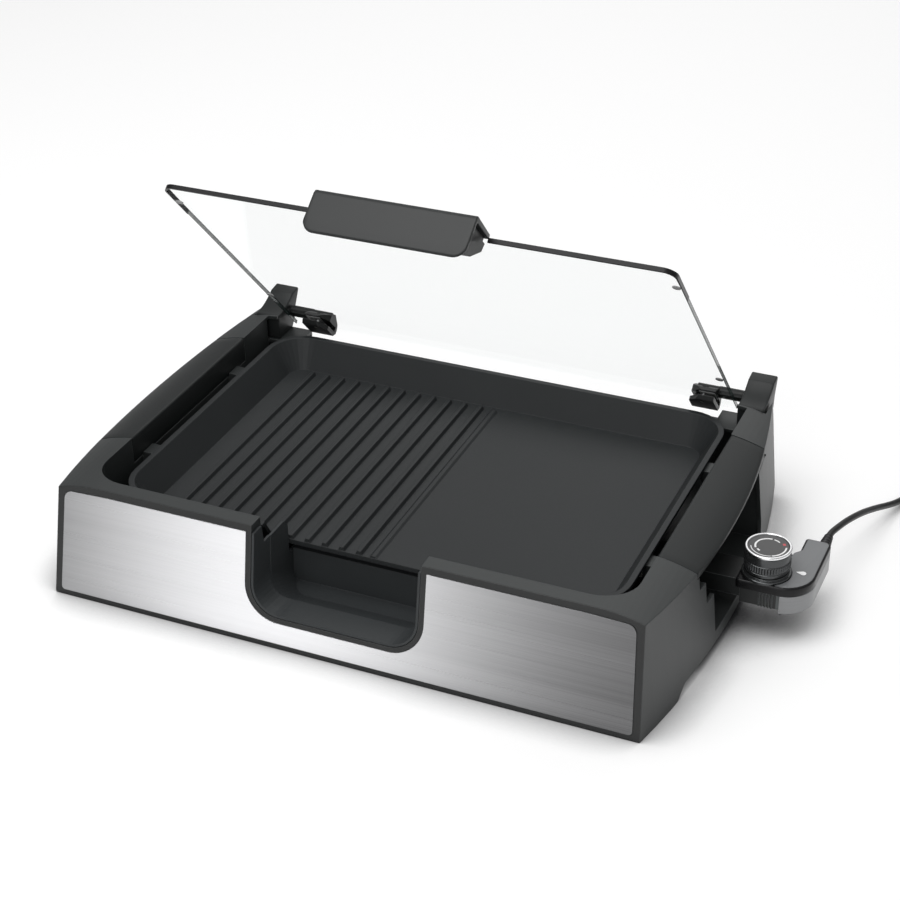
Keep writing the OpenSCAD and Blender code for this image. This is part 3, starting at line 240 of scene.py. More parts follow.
def inset(loop, distance):
    """Closed outline moved inwards along its normals, whichever way it runs."""
    x, y = loop[:, 0], loop[:, 1]
    turn = np.sign((x * np.roll(y, -1) - y * np.roll(x, -1)).sum())
    tangent = np.roll(loop, -1, 0) - np.roll(loop, 1, 0)
    normal = np.stack([-tangent[:, 1], tangent[:, 0]], 1)
    return loop + normal * (turn * distance / np.linalg.norm(normal, axis=1, keepdims=True))


def soft_ends(start, stop, edge, count):
    """Stations from start to stop and how far the outline is drawn in at each: a quarter circle of
    radius edge at both ends, and count even stations between them."""
    turn = np.linspace(0, math.pi / 2, 5)
    away, drawn = edge * (1 - np.cos(turn)), edge * (1 - np.sin(turn))
    middle = np.linspace(start + edge, stop - edge, count + 2)[1:-1]
    places = np.concatenate([start + away, middle, stop - away[::-1]])
    return places, np.concatenate([drawn, np.zeros(count), drawn[::-1]])


def prism(shape, start, stop, edge, count=1, axes="xyz"):
    """Rows of points: shape(t) is the closed outline at station t, drawn in along a quarter circle
    at both ends. axes names where the outline's two directions and the stations go."""
    places, drawn = soft_ends(start, stop, edge, count)
    rows = np.array([inset(shape(place), d) for place, d in zip(places, drawn)])
    grid = np.zeros(rows.shape[:2] + (3,))
    grid[..., "xyz".index(axes[0])] = rows[..., 0]
    grid[..., "xyz".index(axes[1])] = rows[..., 1]
    grid[..., "xyz".index(axes[2])] = places[:, None]
    return grid


def lathe(profile, centre, axis="z", sides=96, ripple=None):
    """Rows of circles: each (radius, height) of the profile goes round the axis, z or y, through
    centre. ripple(angle, height) is added to the radius."""
    profile = np.array(profile, float)
    angle = np.linspace(0, 2 * math.pi, sides, endpoint=False)[None]
    height = profile[:, 1:]
    radius = profile[:, :1] + (ripple(angle, height) if ripple else 0 * angle)
    one, two = radius * np.cos(angle), radius * np.sin(angle)
    along = np.broadcast_to(height, one.shape)
    order = (one, two, along) if axis == "z" else (two, along, one)
    return np.stack(order, -1) + np.array(centre)


def tube(path, radius, sides):
    """Rows of circles of that radius, each square to the path."""
    angle = np.linspace(0, 2 * math.pi, sides, endpoint=False)
    return sweep(path, radius * np.stack([np.cos(angle), np.sin(angle)], 1))


def sweep(path, outline):
    """Rows of points: the outline, one for all rows or one for each, is set square to the path,
    with its first direction level and its second above."""
    step = np.gradient(path, axis=0)
    step /= np.linalg.norm(step, axis=1, keepdims=True)
    side = np.cross(step, [0, 0, 1])
    side /= np.linalg.norm(side, axis=1, keepdims=True)
    up = np.cross(side, step)
    flat, tall = outline[..., 0, None], outline[..., 1, None]
    return path[:, None] + flat * side[:, None] + tall * up[:, None]


def smooth_curve(points, steps):
    """Catmull-Rom curve through the points, with that many steps between each two."""
    points = np.array(points, float)
    padded = np.concatenate([points[:1], points, points[-1:]])
    a, b, c, d = (padded[i : len(padded) - 3 + i, None] for i in range(4))
    t = np.linspace(0, 1, steps, endpoint=False)[None, :, None]
    bend = (2 * a - 5 * b + 4 * c - d) * t**2 + (3 * b - a - 3 * c + d) * t**3
    curve = 0.5 * (2 * b + (c - a) * t + bend)
    return np.concatenate([curve.reshape(-1, 3), points[-1:]])


def skin(grid, ring=False):
    """Vertices and faces over rows of points, each row closed on itself; the first and last row are
    capped, or joined to each other in a ring."""
    rows, columns = grid.shape[:2]
    index = np.arange(rows * columns).reshape(rows, columns)
    ahead = np.roll(index, -1, 1)
    below = index if ring else index[:-1]
    quads = [index, ahead, np.roll(ahead, -1, 0), np.roll(index, -1, 0)]
    faces = np.stack([q[: len(below)] for q in quads], -1).reshape(-1, 4).tolist()
    if not ring:
        faces += [index[0][::-1].tolist(), index[-1].tolist()]
    return grid.reshape(-1, 3), faces


def volume(points, faces):
    """Six times the volume inside the faces, negative when they point inwards."""
    total = 0.0
    for face in faces:
        a, b, c = points[face[0]], points[np.array(face[1:-1])], points[np.array(face[2:])]
        total += (np.cross(b, c) * a).sum()
    return total


def add_piece(name, grid, finish, body, slot, replaces, move=None, sharp=35.0, ring=False):
    """One object from rows of points, set in the frame, riding on a body in place of its nodes."""
    points, faces = skin(grid, ring)
    if volume(points, faces) < 0:
        faces = [face[::-1] for face in faces]
    if move is not None:
        points = move(points)
    mesh = bpy.data.meshes.new(name)
    mesh.from_pydata(points + ORIGIN, [], faces)
    mesh.shade_smooth()
    mesh.set_sharp_from_angle(angle=math.radians(sharp))
    mesh.materials.append(FINISHES[finish])
    piece = bpy.data.objects.new(name, mesh)
    bpy.context.scene.collection.objects.link(piece)
    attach(piece, body)
    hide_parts(*replaces)
    return piece


def add_pair(name, grid, finish, body, slot, replaces, **more):
    """A piece on the right and its mirror image on the left; {} in a name stands for the side."""
    for side, points in (("right", grid), ("left", grid * (-1, 1, 1))):
        add_piece(name.format(side), points, finish, body, slot, (replaces.format(side),), **more)


def swing_open(points):
    """Points of the closed lid turned about the hinge pins by the rest angle."""
    pivot = sum(local("right_hinge_pin")) / 2
    angle = bpy.context.scene.grill_lid.rest_angle
    y, z = points[:, 1] - pivot[1], points[:, 2] - pivot[2]
    turned = points.copy()
    turned[:, 1] = pivot[1] + y * math.cos(angle) + z * math.sin(angle)
    turned[:, 2] = pivot[2] - y * math.sin(angle) + z * math.cos(angle)
    return turned


def side_x(body, y, z):
    """Half width of the body: a circular bow over its depth, less a lean that grows with height."""
    radius = ((BODY_DEPTH / 2) ** 2 + body.side_bow**2) / (2 * body.side_bow)
    fall = radius - np.sqrt(radius**2 - (y - BODY_DEPTH / 2) ** 2)
    return body.width / 2 + body.side_bow - fall - body.side_lean * z / body.height


def crown_z(body, x):
    """Height of the rim: flat to where the crown starts, then a circular arc downwards."""
    over = np.maximum(np.abs(x) - body.crown_start, 0)
    return body.height - body.crown_radius + np.sqrt(body.crown_radius**2 - over**2)


# Shader maths and node making


class Wire:
    """A shader socket; arithmetic on it adds Math nodes to its material."""

    def __init__(self, paint, socket):
        self.paint = paint
        self.socket = socket

    def math(self, operation, *values):
        return self.paint.node("ShaderNodeMath", {"operation": operation}, dict(enumerate(values)))

    def __add__(self, other):
        return self.math("ADD", self, other)

    __radd__ = __add__

    def __sub__(self, other):
        return self.math("SUBTRACT", self, other)

    def __rsub__(self, other):
        return self.math("SUBTRACT", other, self)

    def __mul__(self, other):
        return self.math("MULTIPLY", self, other)

    __rmul__ = __mul__

    def __truediv__(self, other):
        return self.math("DIVIDE", self, other)

    def __gt__(self, other):
        return self.math("GREATER_THAN", self, other)

    def __lt__(self, other):
        return self.math("LESS_THAN", self, other)

    def absolute(self):
        return self.math("ABSOLUTE", self)

    def larger(self, other):
        return self.math("MAXIMUM", self, other)

    def clamped(self):
        """The value held between 0 and 1."""
        return self.math("MINIMUM", self.larger(0.0), 1.0)


class Paint:
    """A procedural material, or the world's light, under construction."""

    def __init__(self, name, world=None):
        self.material = world or bpy.data.materials.new(name)
        self.material.use_nodes = True
        self.tree = self.material.node_tree
        self.tree.nodes.clear()

    def node(self, kind, settings=(), sockets=(), output=0):
        """Adds a node, sets its settings (a ramp's stops among them) and fills its sockets."""
        node = self.tree.nodes.new(kind)
        for key, value in dict(settings).items():
            if key == "stops":
                stops = node.color_ramp.elements
                for place, colour in value[2:]:
                    stops.new(place)
                for stop, (place, colour) in zip(stops, value):
                    stop.position, stop.color = place, colour
            else:
                setattr(node, key, value)
        for key, value in dict(sockets).items():
            if isinstance(value, Wire):
                self.tree.links.new(value.socket, node.inputs[key])
            else:
                node.inputs[key].default_value = value
        return Wire(self, node.outputs[output]) if node.outputs else None

    def place(self):
        """Object coordinates."""
        return self.node("ShaderNodeTexCoord", output="Object")

    def axes(self, vector):
        """X, Y and Z of a vector."""
        return [
            self.node("ShaderNodeSeparateXYZ", (), {"Vector": vector}, output=i) for i in range(3)
        ]

    def stretched(self, scale):
        """Object coordinates scaled by three numbers."""
        return self.node(
            "ShaderNodeVectorMath", {"operation": "MULTIPLY"}, {0: self.place(), 1: scale}
        )

    def noise(self, vector, scale, detail=2.0):
        """Noise from 0 to 1, even about 0.5."""
        return self.node(
            "ShaderNodeTexNoise", (), {"Vector": vector, "Scale": scale, "Detail": detail}
        )

    def mix(self, factor, one, two):
        """Colour between one and two."""
        return self.node(
            "ShaderNodeMix",
            {"data_type": "RGBA"},
            {"Factor": factor, 6: opaque(one), 7: opaque(two)},
            output=2,
        )

    def blend(self, factor, one, two):
        """Shader between one and two."""
        return self.node("ShaderNodeMixShader", (), {0: factor, 1: one, 2: two})

    def soft_normal(self, edge):
        """Normal with sharp edges rounded by that radius."""
        return self.node("ShaderNodeBevel", {"samples": 4}, {"Radius": edge})

    def relief(self, height, depth, edge):
        """Normal from a height, over edges rounded by that radius."""
        sockets = {"Height": height, "Distance": depth, "Strength": 1.0}
        return self.node("ShaderNodeBump", (), {**sockets, "Normal": self.soft_normal(edge)})

    def painted_edge_highlight(self, edge, share):
        """Painted edge highlight: how much lighter sharp edges within that radius are coloured, from
        0 to share.
        """
        same = self.node(
            "ShaderNodeVectorMath",
            {"operation": "DOT_PRODUCT"},
            {0: self.soft_normal(edge), 1: self.node("ShaderNodeNewGeometry", output="Normal")},
            output="Value",
        )
        return share * ((0.97 - same) * 5.0).clamped()

    def surface(self, shader):
        """Ends the material in that shader and returns it."""
        self.node("ShaderNodeOutputMaterial", (), {"Surface": shader})
        return self.material

    def finish(self, **sockets):
        """Principled surface from named sockets; returns the material."""
        named = {key.replace("_", " "): value for key, value in sockets.items()}
        return self.surface(self.node("ShaderNodeBsdfPrincipled", (), named))


def opaque(colour):
    """A colour with its alpha, or the wire as it is."""
    return colour if isinstance(colour, Wire) else tuple(colour)[:3] + (1.0,)


def shade(colour, factor):
    """A colour made darker or lighter."""
    return tuple(c * factor for c in tuple(colour)[:3])


# Finishes


def moulded(
    name, colour, roughness=0.42, grain=0.00004, edge=0.0006, coat=0.0, gleam=0.5,
    split=None, painted_shade_factor=1.0,
):
    """Satin moulded plastic: fine grain, slow drift in shine and tone, softened edges with a painted
    highlight. Where split is 1, a painted shade multiplies the colour by the last argument."""
    paint = Paint(name)
    place = paint.place()
    drift = paint.noise(place, 9.0)
    fine = paint.noise(place, 1400.0, 3.0)
    ground = paint.mix(drift, shade(colour, 0.86), shade(colour, 1.16))
    if split:
        ground = paint.mix(split(paint), ground, shade(colour, painted_shade_factor))
    return paint.finish(
        # Edges get a painted highlight: their colour runs up to four times lighter.
        Base_Color=paint.mix(paint.painted_edge_highlight(edge, 0.5), ground, shade(colour, 4.0)),
        Roughness=roughness + 0.10 * (drift - 0.5) + 0.10 * (fine - 0.5),
        Specular_IOR_Level=gleam,
        Coat_Weight=coat,
        Coat_Roughness=0.25,
        Normal=paint.relief(fine, grain, edge),
    )


def painted_front_shade(paint):
    """1 on the body's raked front face, which lies on y = slope z from its foot; there the colour is
    darkened as painted shade.
    """
    _, y, z = paint.axes(paint.place())
    reach = 0.0009
    return (y - float(ORIGIN[1]) - z * FRONT_SLOPE) < reach


def painted_shade_behind_nose(paint):
    """1 on the contact housing's part between the plug's nose and the body, where its colour is
    darkened as painted shade under the handle.
    """
    x = paint.axes(paint.place())[0]
    nose = 0.0310
    return x < float(local("contact_housing")[1][0] - nose)


def brushed(name, colour, direction):
    """Brushed metal: noise drawn out along one axis gives streaks of tone, shine and relief."""
    paint = Paint(name)
    streak = paint.noise(paint.stretched(direction), 1.0, 4.0)
    broad = paint.noise(paint.stretched(tuple(d * 0.12 for d in direction)), 1.0)
    tone = 0.7 * streak + 0.3 * broad
    return paint.finish(
        Base_Color=paint.mix(tone, shade(colour, 0.84), shade(colour, 1.14)),
        Metallic=1.0,
        Roughness=0.34 + 0.16 * (streak - 0.5),
        Normal=paint.relief(streak, 0.00002, 0.0005),
    )


def front_sheet(name, colour, middle, width):
    """Steel brushed along X: fine streaks, and a broad painted sheen in its colour that falls off to
    both sides as exp(-((x - middle) / width)^2)."""
    paint = Paint(name)
    streak = paint.noise(paint.stretched((2.5, 1100.0, 1100.0)), 1.0, 4.0)
    broad = paint.noise(paint.stretched((1.2, 60.0, 60.0)), 1.0)
    x = paint.axes(paint.place())[0]
    away = (x - float(middle)) / width
    # The sheen is a painted highlight: it carries the colour from 0.05 up to 1.85 times the steel's.
    sheen = away.math("EXPONENT", away * away * -1.0)
    tone = 0.74 * sheen + 0.10 * streak + 0.06 * (broad - 0.5) + 0.03
    return paint.finish(
        Base_Color=paint.mix(tone, shade(colour, 0.05), shade(colour, 1.85)),
        Metallic=1.0,
        Roughness=0.30 + 0.16 * (streak - 0.5),
        Normal=paint.relief(streak, 0.00002, 0.0005),
    )


def metal(name, colour, roughness):
    """Plain bright metal with slight smudges and a soft grain."""
    paint = Paint(name)
    smudge = paint.noise(paint.place(), 60.0, 3.0)
    fine = paint.noise(paint.place(), 1800.0)
    return paint.finish(
        Base_Color=paint.mix(smudge, shade(colour, 0.90), shade(colour, 1.08)),
        Metallic=1.0,
        Roughness=roughness + 0.14 * (smudge - 0.5),
        Normal=paint.relief(fine, 0.00001, 0.0002),
    )


def coating(name, colour):
    """Non-stick coating: matte, with fine pale specks and a faint orange-peel surface."""
    paint = Paint(name)
    place = paint.place()
    peel = paint.noise(place, 700.0, 2.0)
    speck = paint.noise(place, 2600.0, 1.0)
    specks = (speck > 0.71) * 0.5
    drift = paint.noise(place, 14.0)
    ground = paint.mix(drift, shade(colour, 0.88), shade(colour, 1.14))
    return paint.finish(
        Base_Color=paint.mix(specks, ground, shade(colour, 2.2)),
        Roughness=0.46 + 0.12 * (peel - 0.5) + 0.08 * (drift - 0.5),
        Specular_IOR_Level=0.3,
        Normal=paint.relief(peel, 0.000014, 0.0009),
    )


def clear_glass(name):
    """Clear sheet glass that shows what is behind it, with dark, green-tinted cut edges."""
    paint = Paint(name)
    low, high = LOW["glass_lid"], HIGH["glass_lid"]
    x, y, z = paint.axes(paint.place())
    middle = (low[0] + high[0]) / 2
    half = (high[0] - low[0]) / 2
    sides = (x - float(middle)).absolute() > float(half - 0.0008)
    tilt = bpy.context.scene.grill_lid.rest_angle
    run = z * math.sin(tilt) - y * math.cos(tilt)
    top = high[2] * math.sin(tilt) - low[1] * math.cos(tilt)
    edges = sides.larger(run > float(top - 0.0012))
    haze = paint.noise(paint.place(), 7.0, 2.0)
    gloss = paint.node(
        "ShaderNodeBsdfGlossy", (), {"Color": (1, 1, 1, 1), "Roughness": 0.02 + 0.02 * haze}
    )
    clear = paint.node("ShaderNodeBsdfTransparent", (), {"Color": (0.992, 0.997, 0.996, 1)})
    facing_away = paint.node("ShaderNodeLayerWeight", (), {"Blend": 0.5}, output="Facing")
    gleam = 0.012 + 0.12 * facing_away.math("POWER", facing_away, 5.0)
    cut = paint.node(
        "ShaderNodeBsdfPrincipled", (), {"Base Color": (0.03, 0.045, 0.042, 1), "Roughness": 0.12}
    )
    return paint.surface(paint.blend(edges * 0.9, paint.blend(gleam, clear, gloss), cut))


def dial_face(name, centre, radius):
    """Black dial with generic marks: each is a stretch of a circle, given as its share of the
    dial's radius, half its width, and where it starts and ends, in turns from the camera's right."""
    paint = Paint(name)
    x, y, _ = paint.axes(paint.place())
    across = (x - float(centre[0])) / float(radius)
    along = (y - float(centre[1])) / float(radius)
    square = across * across + along * along
    reach = square.math("SQRT", square)
    first_mark = 1 - 24.0 / 360
    angle = across.math("ARCTAN2", along, across) / (2 * math.pi) + first_mark
    turn = angle.math("FRACT", angle)

    def mark(at, half, start, stop):
        return ((reach - at).absolute() < half) * (turn > start) * (turn < stop)

    white = mark(0.85, 0.022, 0.48, 0.745)
    for stretch in (
        (0.85, 0.040, 0.755, 0.965),
        (0.64, 0.045, 0.18, 0.52),
        (0.64, 0.036, 0.07, 0.155),
        (0.60, 0.045, 0.55, 0.60),
    ):
        white = white.larger(mark(*stretch))
    red = mark(0.78, 0.07, 0.0, 0.035)
    face = paint.mix(white, (0.030, 0.030, 0.031), (0.80, 0.80, 0.80))
    return paint.finish(
        Base_Color=paint.mix(red, face, (0.50, 0.04, 0.05)),
        Roughness=0.35 + 0.1 * paint.noise(paint.place(), 300.0),
        Coat_Weight=0.4,
        Coat_Roughness=0.1,
    )


def smoke(name, colour):
    """Dark chrome look of glossy plastic that mirrors the bright table in front of it."""
    paint = Paint(name)
    drift = paint.noise(paint.place(), 40.0, 2.0)
    fine = paint.noise(paint.place(), 1600.0)
    return paint.finish(
        Base_Color=paint.mix(drift, shade(colour, 0.92), shade(colour, 1.08)),
        Metallic=0.75,
        Roughness=0.22 + 0.06 * (drift - 0.5),
        Normal=paint.relief(fine, 0.000008, 0.0002),
    )


def rubber(name, colour, roughness=0.55):
    """Soft matte rubber with a dusty grain."""
    return moulded(name, colour, roughness, 0.00003, 0.0003)


FINISHES = {}


def paint_all(finish):
    """Makes every material once."""
    low, high = LOW["knob_dial"], HIGH["knob_dial"]
    FINISHES.update(
        # The body's front face is darkened to a quarter of its colour: painted shade.
        plastic=moulded(
            "satin_plastic", finish.plastic, edge=0.0010, split=painted_front_shade, painted_shade_factor=0.25
        ),
        # Handles, posts and the lid's grip are darker copies of the body plastic: painted shade
        # where overhead light falls on their tops.
        grip=moulded("grip_plastic", shade(finish.plastic, 0.62), 0.38, edge=0.0015, gleam=0.25),
        lid_grip=moulded(
            "lid_grip_plastic", shade(finish.plastic, 0.60), 0.36, edge=0.0012, gleam=0.35
        ),
        # Behind the nose the housing's colour is darkened to 0.12: painted shade.
        nose=moulded(
            "plug_nose_plastic", shade(finish.plastic, 3.4), 0.36, 0.00003,
            split=painted_shade_behind_nose, painted_shade_factor=0.12,
        ),
        dark=moulded("dark_plastic", shade(finish.plastic, 0.30), 0.40, edge=0.0008, gleam=0.3),
        gloss=moulded("gloss_trim", shade(finish.gloss, 0.6), 0.28, 0.00001, 0.0004, gleam=0.25),
        smoke=smoke("smoked_gloss", (0.075, 0.078, 0.080)),
        steel=front_sheet(
            "brushed_steel_front", finish.steel, finish.sheen_place + ORIGIN[0], finish.sheen_width
        ),
        bright=brushed("bright_sheet", (0.40, 0.405, 0.41), (200.0, 4.0, 200.0)),
        screw=metal("screw_steel", (0.50, 0.50, 0.51), 0.3),
        pin=metal("pin_steel", (0.62, 0.62, 0.64), 0.18),
        brass=metal("contact_brass", (0.72, 0.52, 0.20), 0.25),
        ring=metal("satin_ring", (0.86, 0.86, 0.87), 0.22),
        element=metal("element_sheath", (0.16, 0.155, 0.16), 0.5),
        nonstick=coating("nonstick_coating", finish.nonstick),
        # The tray is the plate's coating made 1.7 times lighter: painted light for its shaded notch.
        tray=coating("tray_coating_painted_light", shade(finish.nonstick, 1.7)),
        ceramic=moulded("white_ceramic", (0.70, 0.68, 0.62), 0.4),
        feet=rubber("foot_rubber", (0.012, 0.012, 0.013)),
        silicone=rubber("soft_silicone", (0.30, 0.30, 0.30), 0.5),
        glass=clear_glass("lid_glass"),
        silver=brushed("plug_silver", finish.silver, (14.0, 14.0, 1500.0)),
        satin=moulded("plug_satin_plate", (0.165, 0.17, 0.175), 0.36, 0.00002),
        lens=moulded("white_lens", (0.85, 0.85, 0.85), 0.2, 0.000005, 0.0002, coat=0.5),
        lamp=moulded("amber_lamp", (0.85, 0.35, 0.12), 0.2, 0.000005, 0.0002, coat=0.5),
        dial=dial_face("dial_print", (low + high) / 2, (high[0] - low[0]) / 2),
        cord=rubber("cord_rubber", (0.009, 0.009, 0.010), 0.42),
        tie=moulded("white_tie", (0.75, 0.75, 0.73), 0.5),
    )


NODE_FINISH = {
    "plastic": ["base_shell"],
    "grip": ["left_handle", "right_handle", "left_hinge_post", "right_hinge_post"],
    "lid_grip": ["lid_handle_grip"],
    "dark": [
        "plug_upper_shell", "cord_clamp", "left_hinge_arm", "right_hinge_arm", "lid_handle_core",
    ],
    "nose": ["contact_housing"],
    "gloss": ["lid_edge_trim"],
    "smoke": ["knob_bezel", "knob_body"],
    "steel": ["steel_front_panel"],
    "bright": ["heat_reflector"],
    "screw": [
        "handle_screws", "reflector_screws", "lid_handle_screws", "hinge_screws", "plug_screws",
        "bimetal_bracket",
    ],
    "pin": [
        "contact_pins", "probe_tube", "probe_rod", "left_hinge_pin", "right_hinge_pin",
        "knob_spindle", "mains_plug_pins",
    ],
    "brass": ["contact_sleeves", "switch_blades", "bimetal_strip"],
    "ring": ["knob_ring"],
    "element": ["heating_element"],
    "nonstick": ["grill_plate"],
    "tray": ["drip_tray"],
    "ceramic": ["terminal_block", "thermostat_cam"],
    "feet": ["front_feet", "rear_feet"],
    "silicone": ["plate_rest_pads", "hinge_gaskets", "lid_bumpers"],
    "glass": ["glass_lid"],
    "silver": ["plug_lower_shell"],
    "satin": ["plug_top_plate"],
    "lens": ["pilot_lens"],
    "lamp": ["pilot_lamp"],
    "dial": ["knob_dial"],
    "cord": ["strain_relief", "cord_run", "cord_coil", "mains_plug_body"],
    "tie": ["coil_tie"],
}


# Operators


class GRILL_OT_finishes(Operator):
    """Paint every node of the frame"""

    bl_idname = "grill.finishes"
    bl_label = "Finishes"

    def execute(self, context):
        paint_all(context.scene.grill_finish)
        finish_of = {name: finish for finish, names in NODE_FINISH.items() for name in names}
        for name, node in NODES.items():
            node.data.materials.clear()
            node.data.materials.append(FINISHES[finish_of[name]])
        return {"FINISHED"}


class GRILL_OT_handles(Operator):
    """Shape the two side handles with softened edges"""

    bl_idname = "grill.handles"
    bl_label = "Side handles"

    def execute(self, context):
        body = context.scene.grill_body
        inner, front, rear = 0.218, 0.0942, 0.2769

        def section(y):
            """Underside, leaning side and crowned top at depth y."""
            top = side_x(body, y, 0.083)
            outer = np.linspace(top, inner, 12)
            under = [(inner, 0.070), (0.228, 0.070), (0.240, 0.076), (0.247, 0.0795)]
            crown = list(zip(outer, crown_z(body, outer)))
            corners = under + [(side_x(body, y, 0.080), 0.080)] + crown
            radii = [body.edge] * 6 + [body.edge * 0.5] * 10 + [body.edge * 1.3]
            return rounded(corners, radii, 4)

        cover = prism(section, front, rear, body.edge, 24, "xzy")
        add_pair("{}_grip_cover", cover, "grip", "base", "handle_black", "{}_handle")
        return {"FINISHED"}


class GRILL_OT_posts(Operator):
    """Shape the two posts that carry the lid's hinge"""

    bl_idname = "grill.posts"
    bl_label = "Hinge posts"

    def execute(self, context):
        body = context.scene.grill_body
        inner, outer, front, rear = 0.2094, 0.2328, 0.324, BODY_DEPTH
        foot, tip, edge = 0.070, 0.1034, 0.0012
        top = float(crown_z(body, (inner + outer) / 2))
        t = np.linspace(0, 1, 12)
        back = [
            (front, foot), (rear, foot), (rear + 0.006, foot + 0.009), (rear + 0.008, top - 0.004),
        ]
        horn = [(rear + 0.0146, tip - 0.0026), (rear + 0.014, tip)]
        depths = rear + 0.003 - t * (rear + 0.003 - front)
        brow = list(zip(depths, top + (tip - 0.0016 - top) * (1 - t) ** 2))
        radii = [0.0014] * 4 + [0.0012] * 2 + [0.0016] + [0.0006] * 10 + [0.0014]
        profile = rounded(back + horn + brow, radii, 4)
        post = prism(lambda x: profile, inner, outer, edge, axes="yzx")
        post[..., 0] -= 0.0016 * (post[..., 0] - inner) / (outer - inner) * post[..., 2] / tip
        add_pair("{}_lid_post", post, "grip", "base", "handle_black", "{}_hinge_post")
        return {"FINISHED"}


class GRILL_OT_lid(Operator):
    """Shape the lid's handle and the dark trim along its front edge"""

    bl_idname = "grill.lid"
    bl_label = "Lid handle and trim"

    def execute(self, context):
        lid = context.scene.grill_lid
        half, corner, edge = lid.grip_half, lid.grip_corner, 0.0010
        high = lid.glass_low + lid.glass_thickness
        front, top, low = lid.glass_front - 0.030, high + 0.0044, lid.glass_low - 0.0274
        inner = front + 0.0033

        def section(x):
            """The shell's front face and top at width x; its lower lip climbs round the corner."""
            over = max(abs(x) - (half - corner), 0.0)
            climb = corner - math.sqrt(max(corner**2 - over**2, 0.0))
            lean = climb * 0.11
            corners = [
                (front + 0.0015, top), (lid.glass_front + 0.003, top - 0.0004),
                (lid.glass_front + 0.003, high), (inner, high - 0.0006),
                (inner - 0.0026 + lean, low + 0.0016 + climb), (front - 0.0016 + lean, low + climb),
                (front - 0.0034 + lean, low + 0.0008 + climb), (front - 0.0018, low + 0.0145),
                (front, top - 0.003),
            ]
            radii = [0.0018, 0.0010, 0.0010, 0.0011, 0.0010, 0.0010, 0.0010, 0.004, 0.001]
            return rounded(corners, radii, 5)

        grip = prism(section, -half, half, edge, 60, "yzx")
        add_piece(
            "lid_grip_shell", grip, "lid_grip", "lid", "handle_black", ("lid_handle_grip",),
            move=swing_open,
        )
        end = lid.glass_width / 2 - lid.corner
        bend = lid.glass_front + lid.corner
        turn = np.linspace(0, math.pi / 2, 14)
        runs = [
            np.stack([np.linspace(half + 0.0004, end, 12), np.full(12, lid.glass_front)], 1)[:-1],
            np.stack([end + lid.corner * np.sin(turn), bend - lid.corner * np.cos(turn)], 1),
            np.stack([np.full(10, end + lid.corner), bend + np.linspace(0.003, 0.04, 10)], 1),
        ]
        run = np.concatenate(runs)
        wall, lap, thick = 0.00028, 0.0012, lid.glass_thickness / 2
        path = np.column_stack([run, np.full(len(run), lid.glass_low + thick)])
        channel = np.array([
            (wall, -thick - wall), (wall, thick + wall), (-lap, thick + wall), (-lap, thick),
            (0.0, thick), (0.0, -thick), (-lap, -thick), (-lap, -thick - wall),
        ])
        fade = np.clip((len(run) - 1 - np.arange(len(run))) / 12.0, 0.06, 1)[:, None]
        outline = np.repeat(channel[None], len(run), 0)
        flat = outline[..., 0]
        outline[..., 0] = np.where(flat < 0, flat * fade, flat)
        add_pair(
            "lid_trim_{}", sweep(path, outline), "gloss", "lid", "edge_black", "lid_edge_trim",
            move=swing_open, sharp=30,
        )
        return {"FINISHED"}


class GRILL_OT_knob(Operator):
    """Shape the knurled knob, its bright ring and its dial"""

    bl_idname = "grill.knob"
    bl_label = "Knob"

    def execute(self, context):
        knurls = context.scene.grill_plug.knurls
        low, high = local("knob_ring")
        centre = (low + high) / 2 * (1, 1, 0)
        radius, rim, top = (high[0] - low[0]) / 2, low[2], high[2]
        base = local("knob_body")[0][2]

        def knurl(angle, height):
            """Half-round flutes whose depth swells and fades over the band's height."""
            swell = np.clip((height - base - 0.0042) / 0.0008, 0, 1)
            band = swell * np.clip((base + 0.0102 - height) / 0.0008, 0, 1)
            return -0.00055 * band * np.abs(np.sin(knurls * angle / 2)) ** 0.7

        profile = [
            (0.0030, base + 0.0100), (0.0030, base), (0.0158, base), (0.0163, base + 0.0004),
            (0.0163, base + 0.0016), (0.0167, base + 0.0019), (radius - 0.0002, base + 0.0022),
            (radius - 0.0002, base + 0.0034), (radius - 0.0006, base + 0.0037),
            (radius - 0.0006, base + 0.0042),
        ]
        profile += [(radius, h) for h in np.linspace(base + 0.0046, base + 0.0100, 8)]
        profile += [
            (radius - 0.0006, base + 0.0104), (radius - 0.0006, base + 0.0108),
            (radius - 0.0002, base + 0.0111), (radius - 0.0004, rim - 0.0016),
            (radius - 0.0008, rim - 0.0006), (radius - 0.0010, rim), (0.0030, rim),
        ]
        grip = lathe(profile, centre, sides=knurls * 6, ripple=knurl)
        add_piece("knurled_knob", grip, "smoke", "knob", "plug_black", ("knob_body",), sharp=28)
        inner = radius - 0.0022
        corners = [(inner, rim), (radius, rim), (radius, top), (inner, top)]
        hoop = lathe(rounded(corners, [0.0003, 0.0003, 0.0009, 0.0007], 5), centre)
        add_piece("bright_ring", hoop, "ring", "knob", "ring_silver", ("knob_ring",), ring=True)
        edge = inner - 0.00005
        face = [(0.001, rim + 0.0001), (edge, rim + 0.0001), (edge, rim + 0.0010)]
        face += [(inner - 0.0003, rim + 0.00125)]
        dome = np.linspace(0.96, 0.02, 10) * inner
        face += [(r, rim + 0.0014 - 0.0002 * (r / inner) ** 2) for r in dome]
        add_piece("dial_face", lathe(face, centre), "dial", "knob", "plug_black", ("knob_dial",))
        return {"FINISHED"}


# The thermostat plug's round front corner, its reach in front of the knob and its arm's width
PLUG_CORNER, PLUG_FRONT, PLUG_ARM = 0.024, 0.018, 0.020


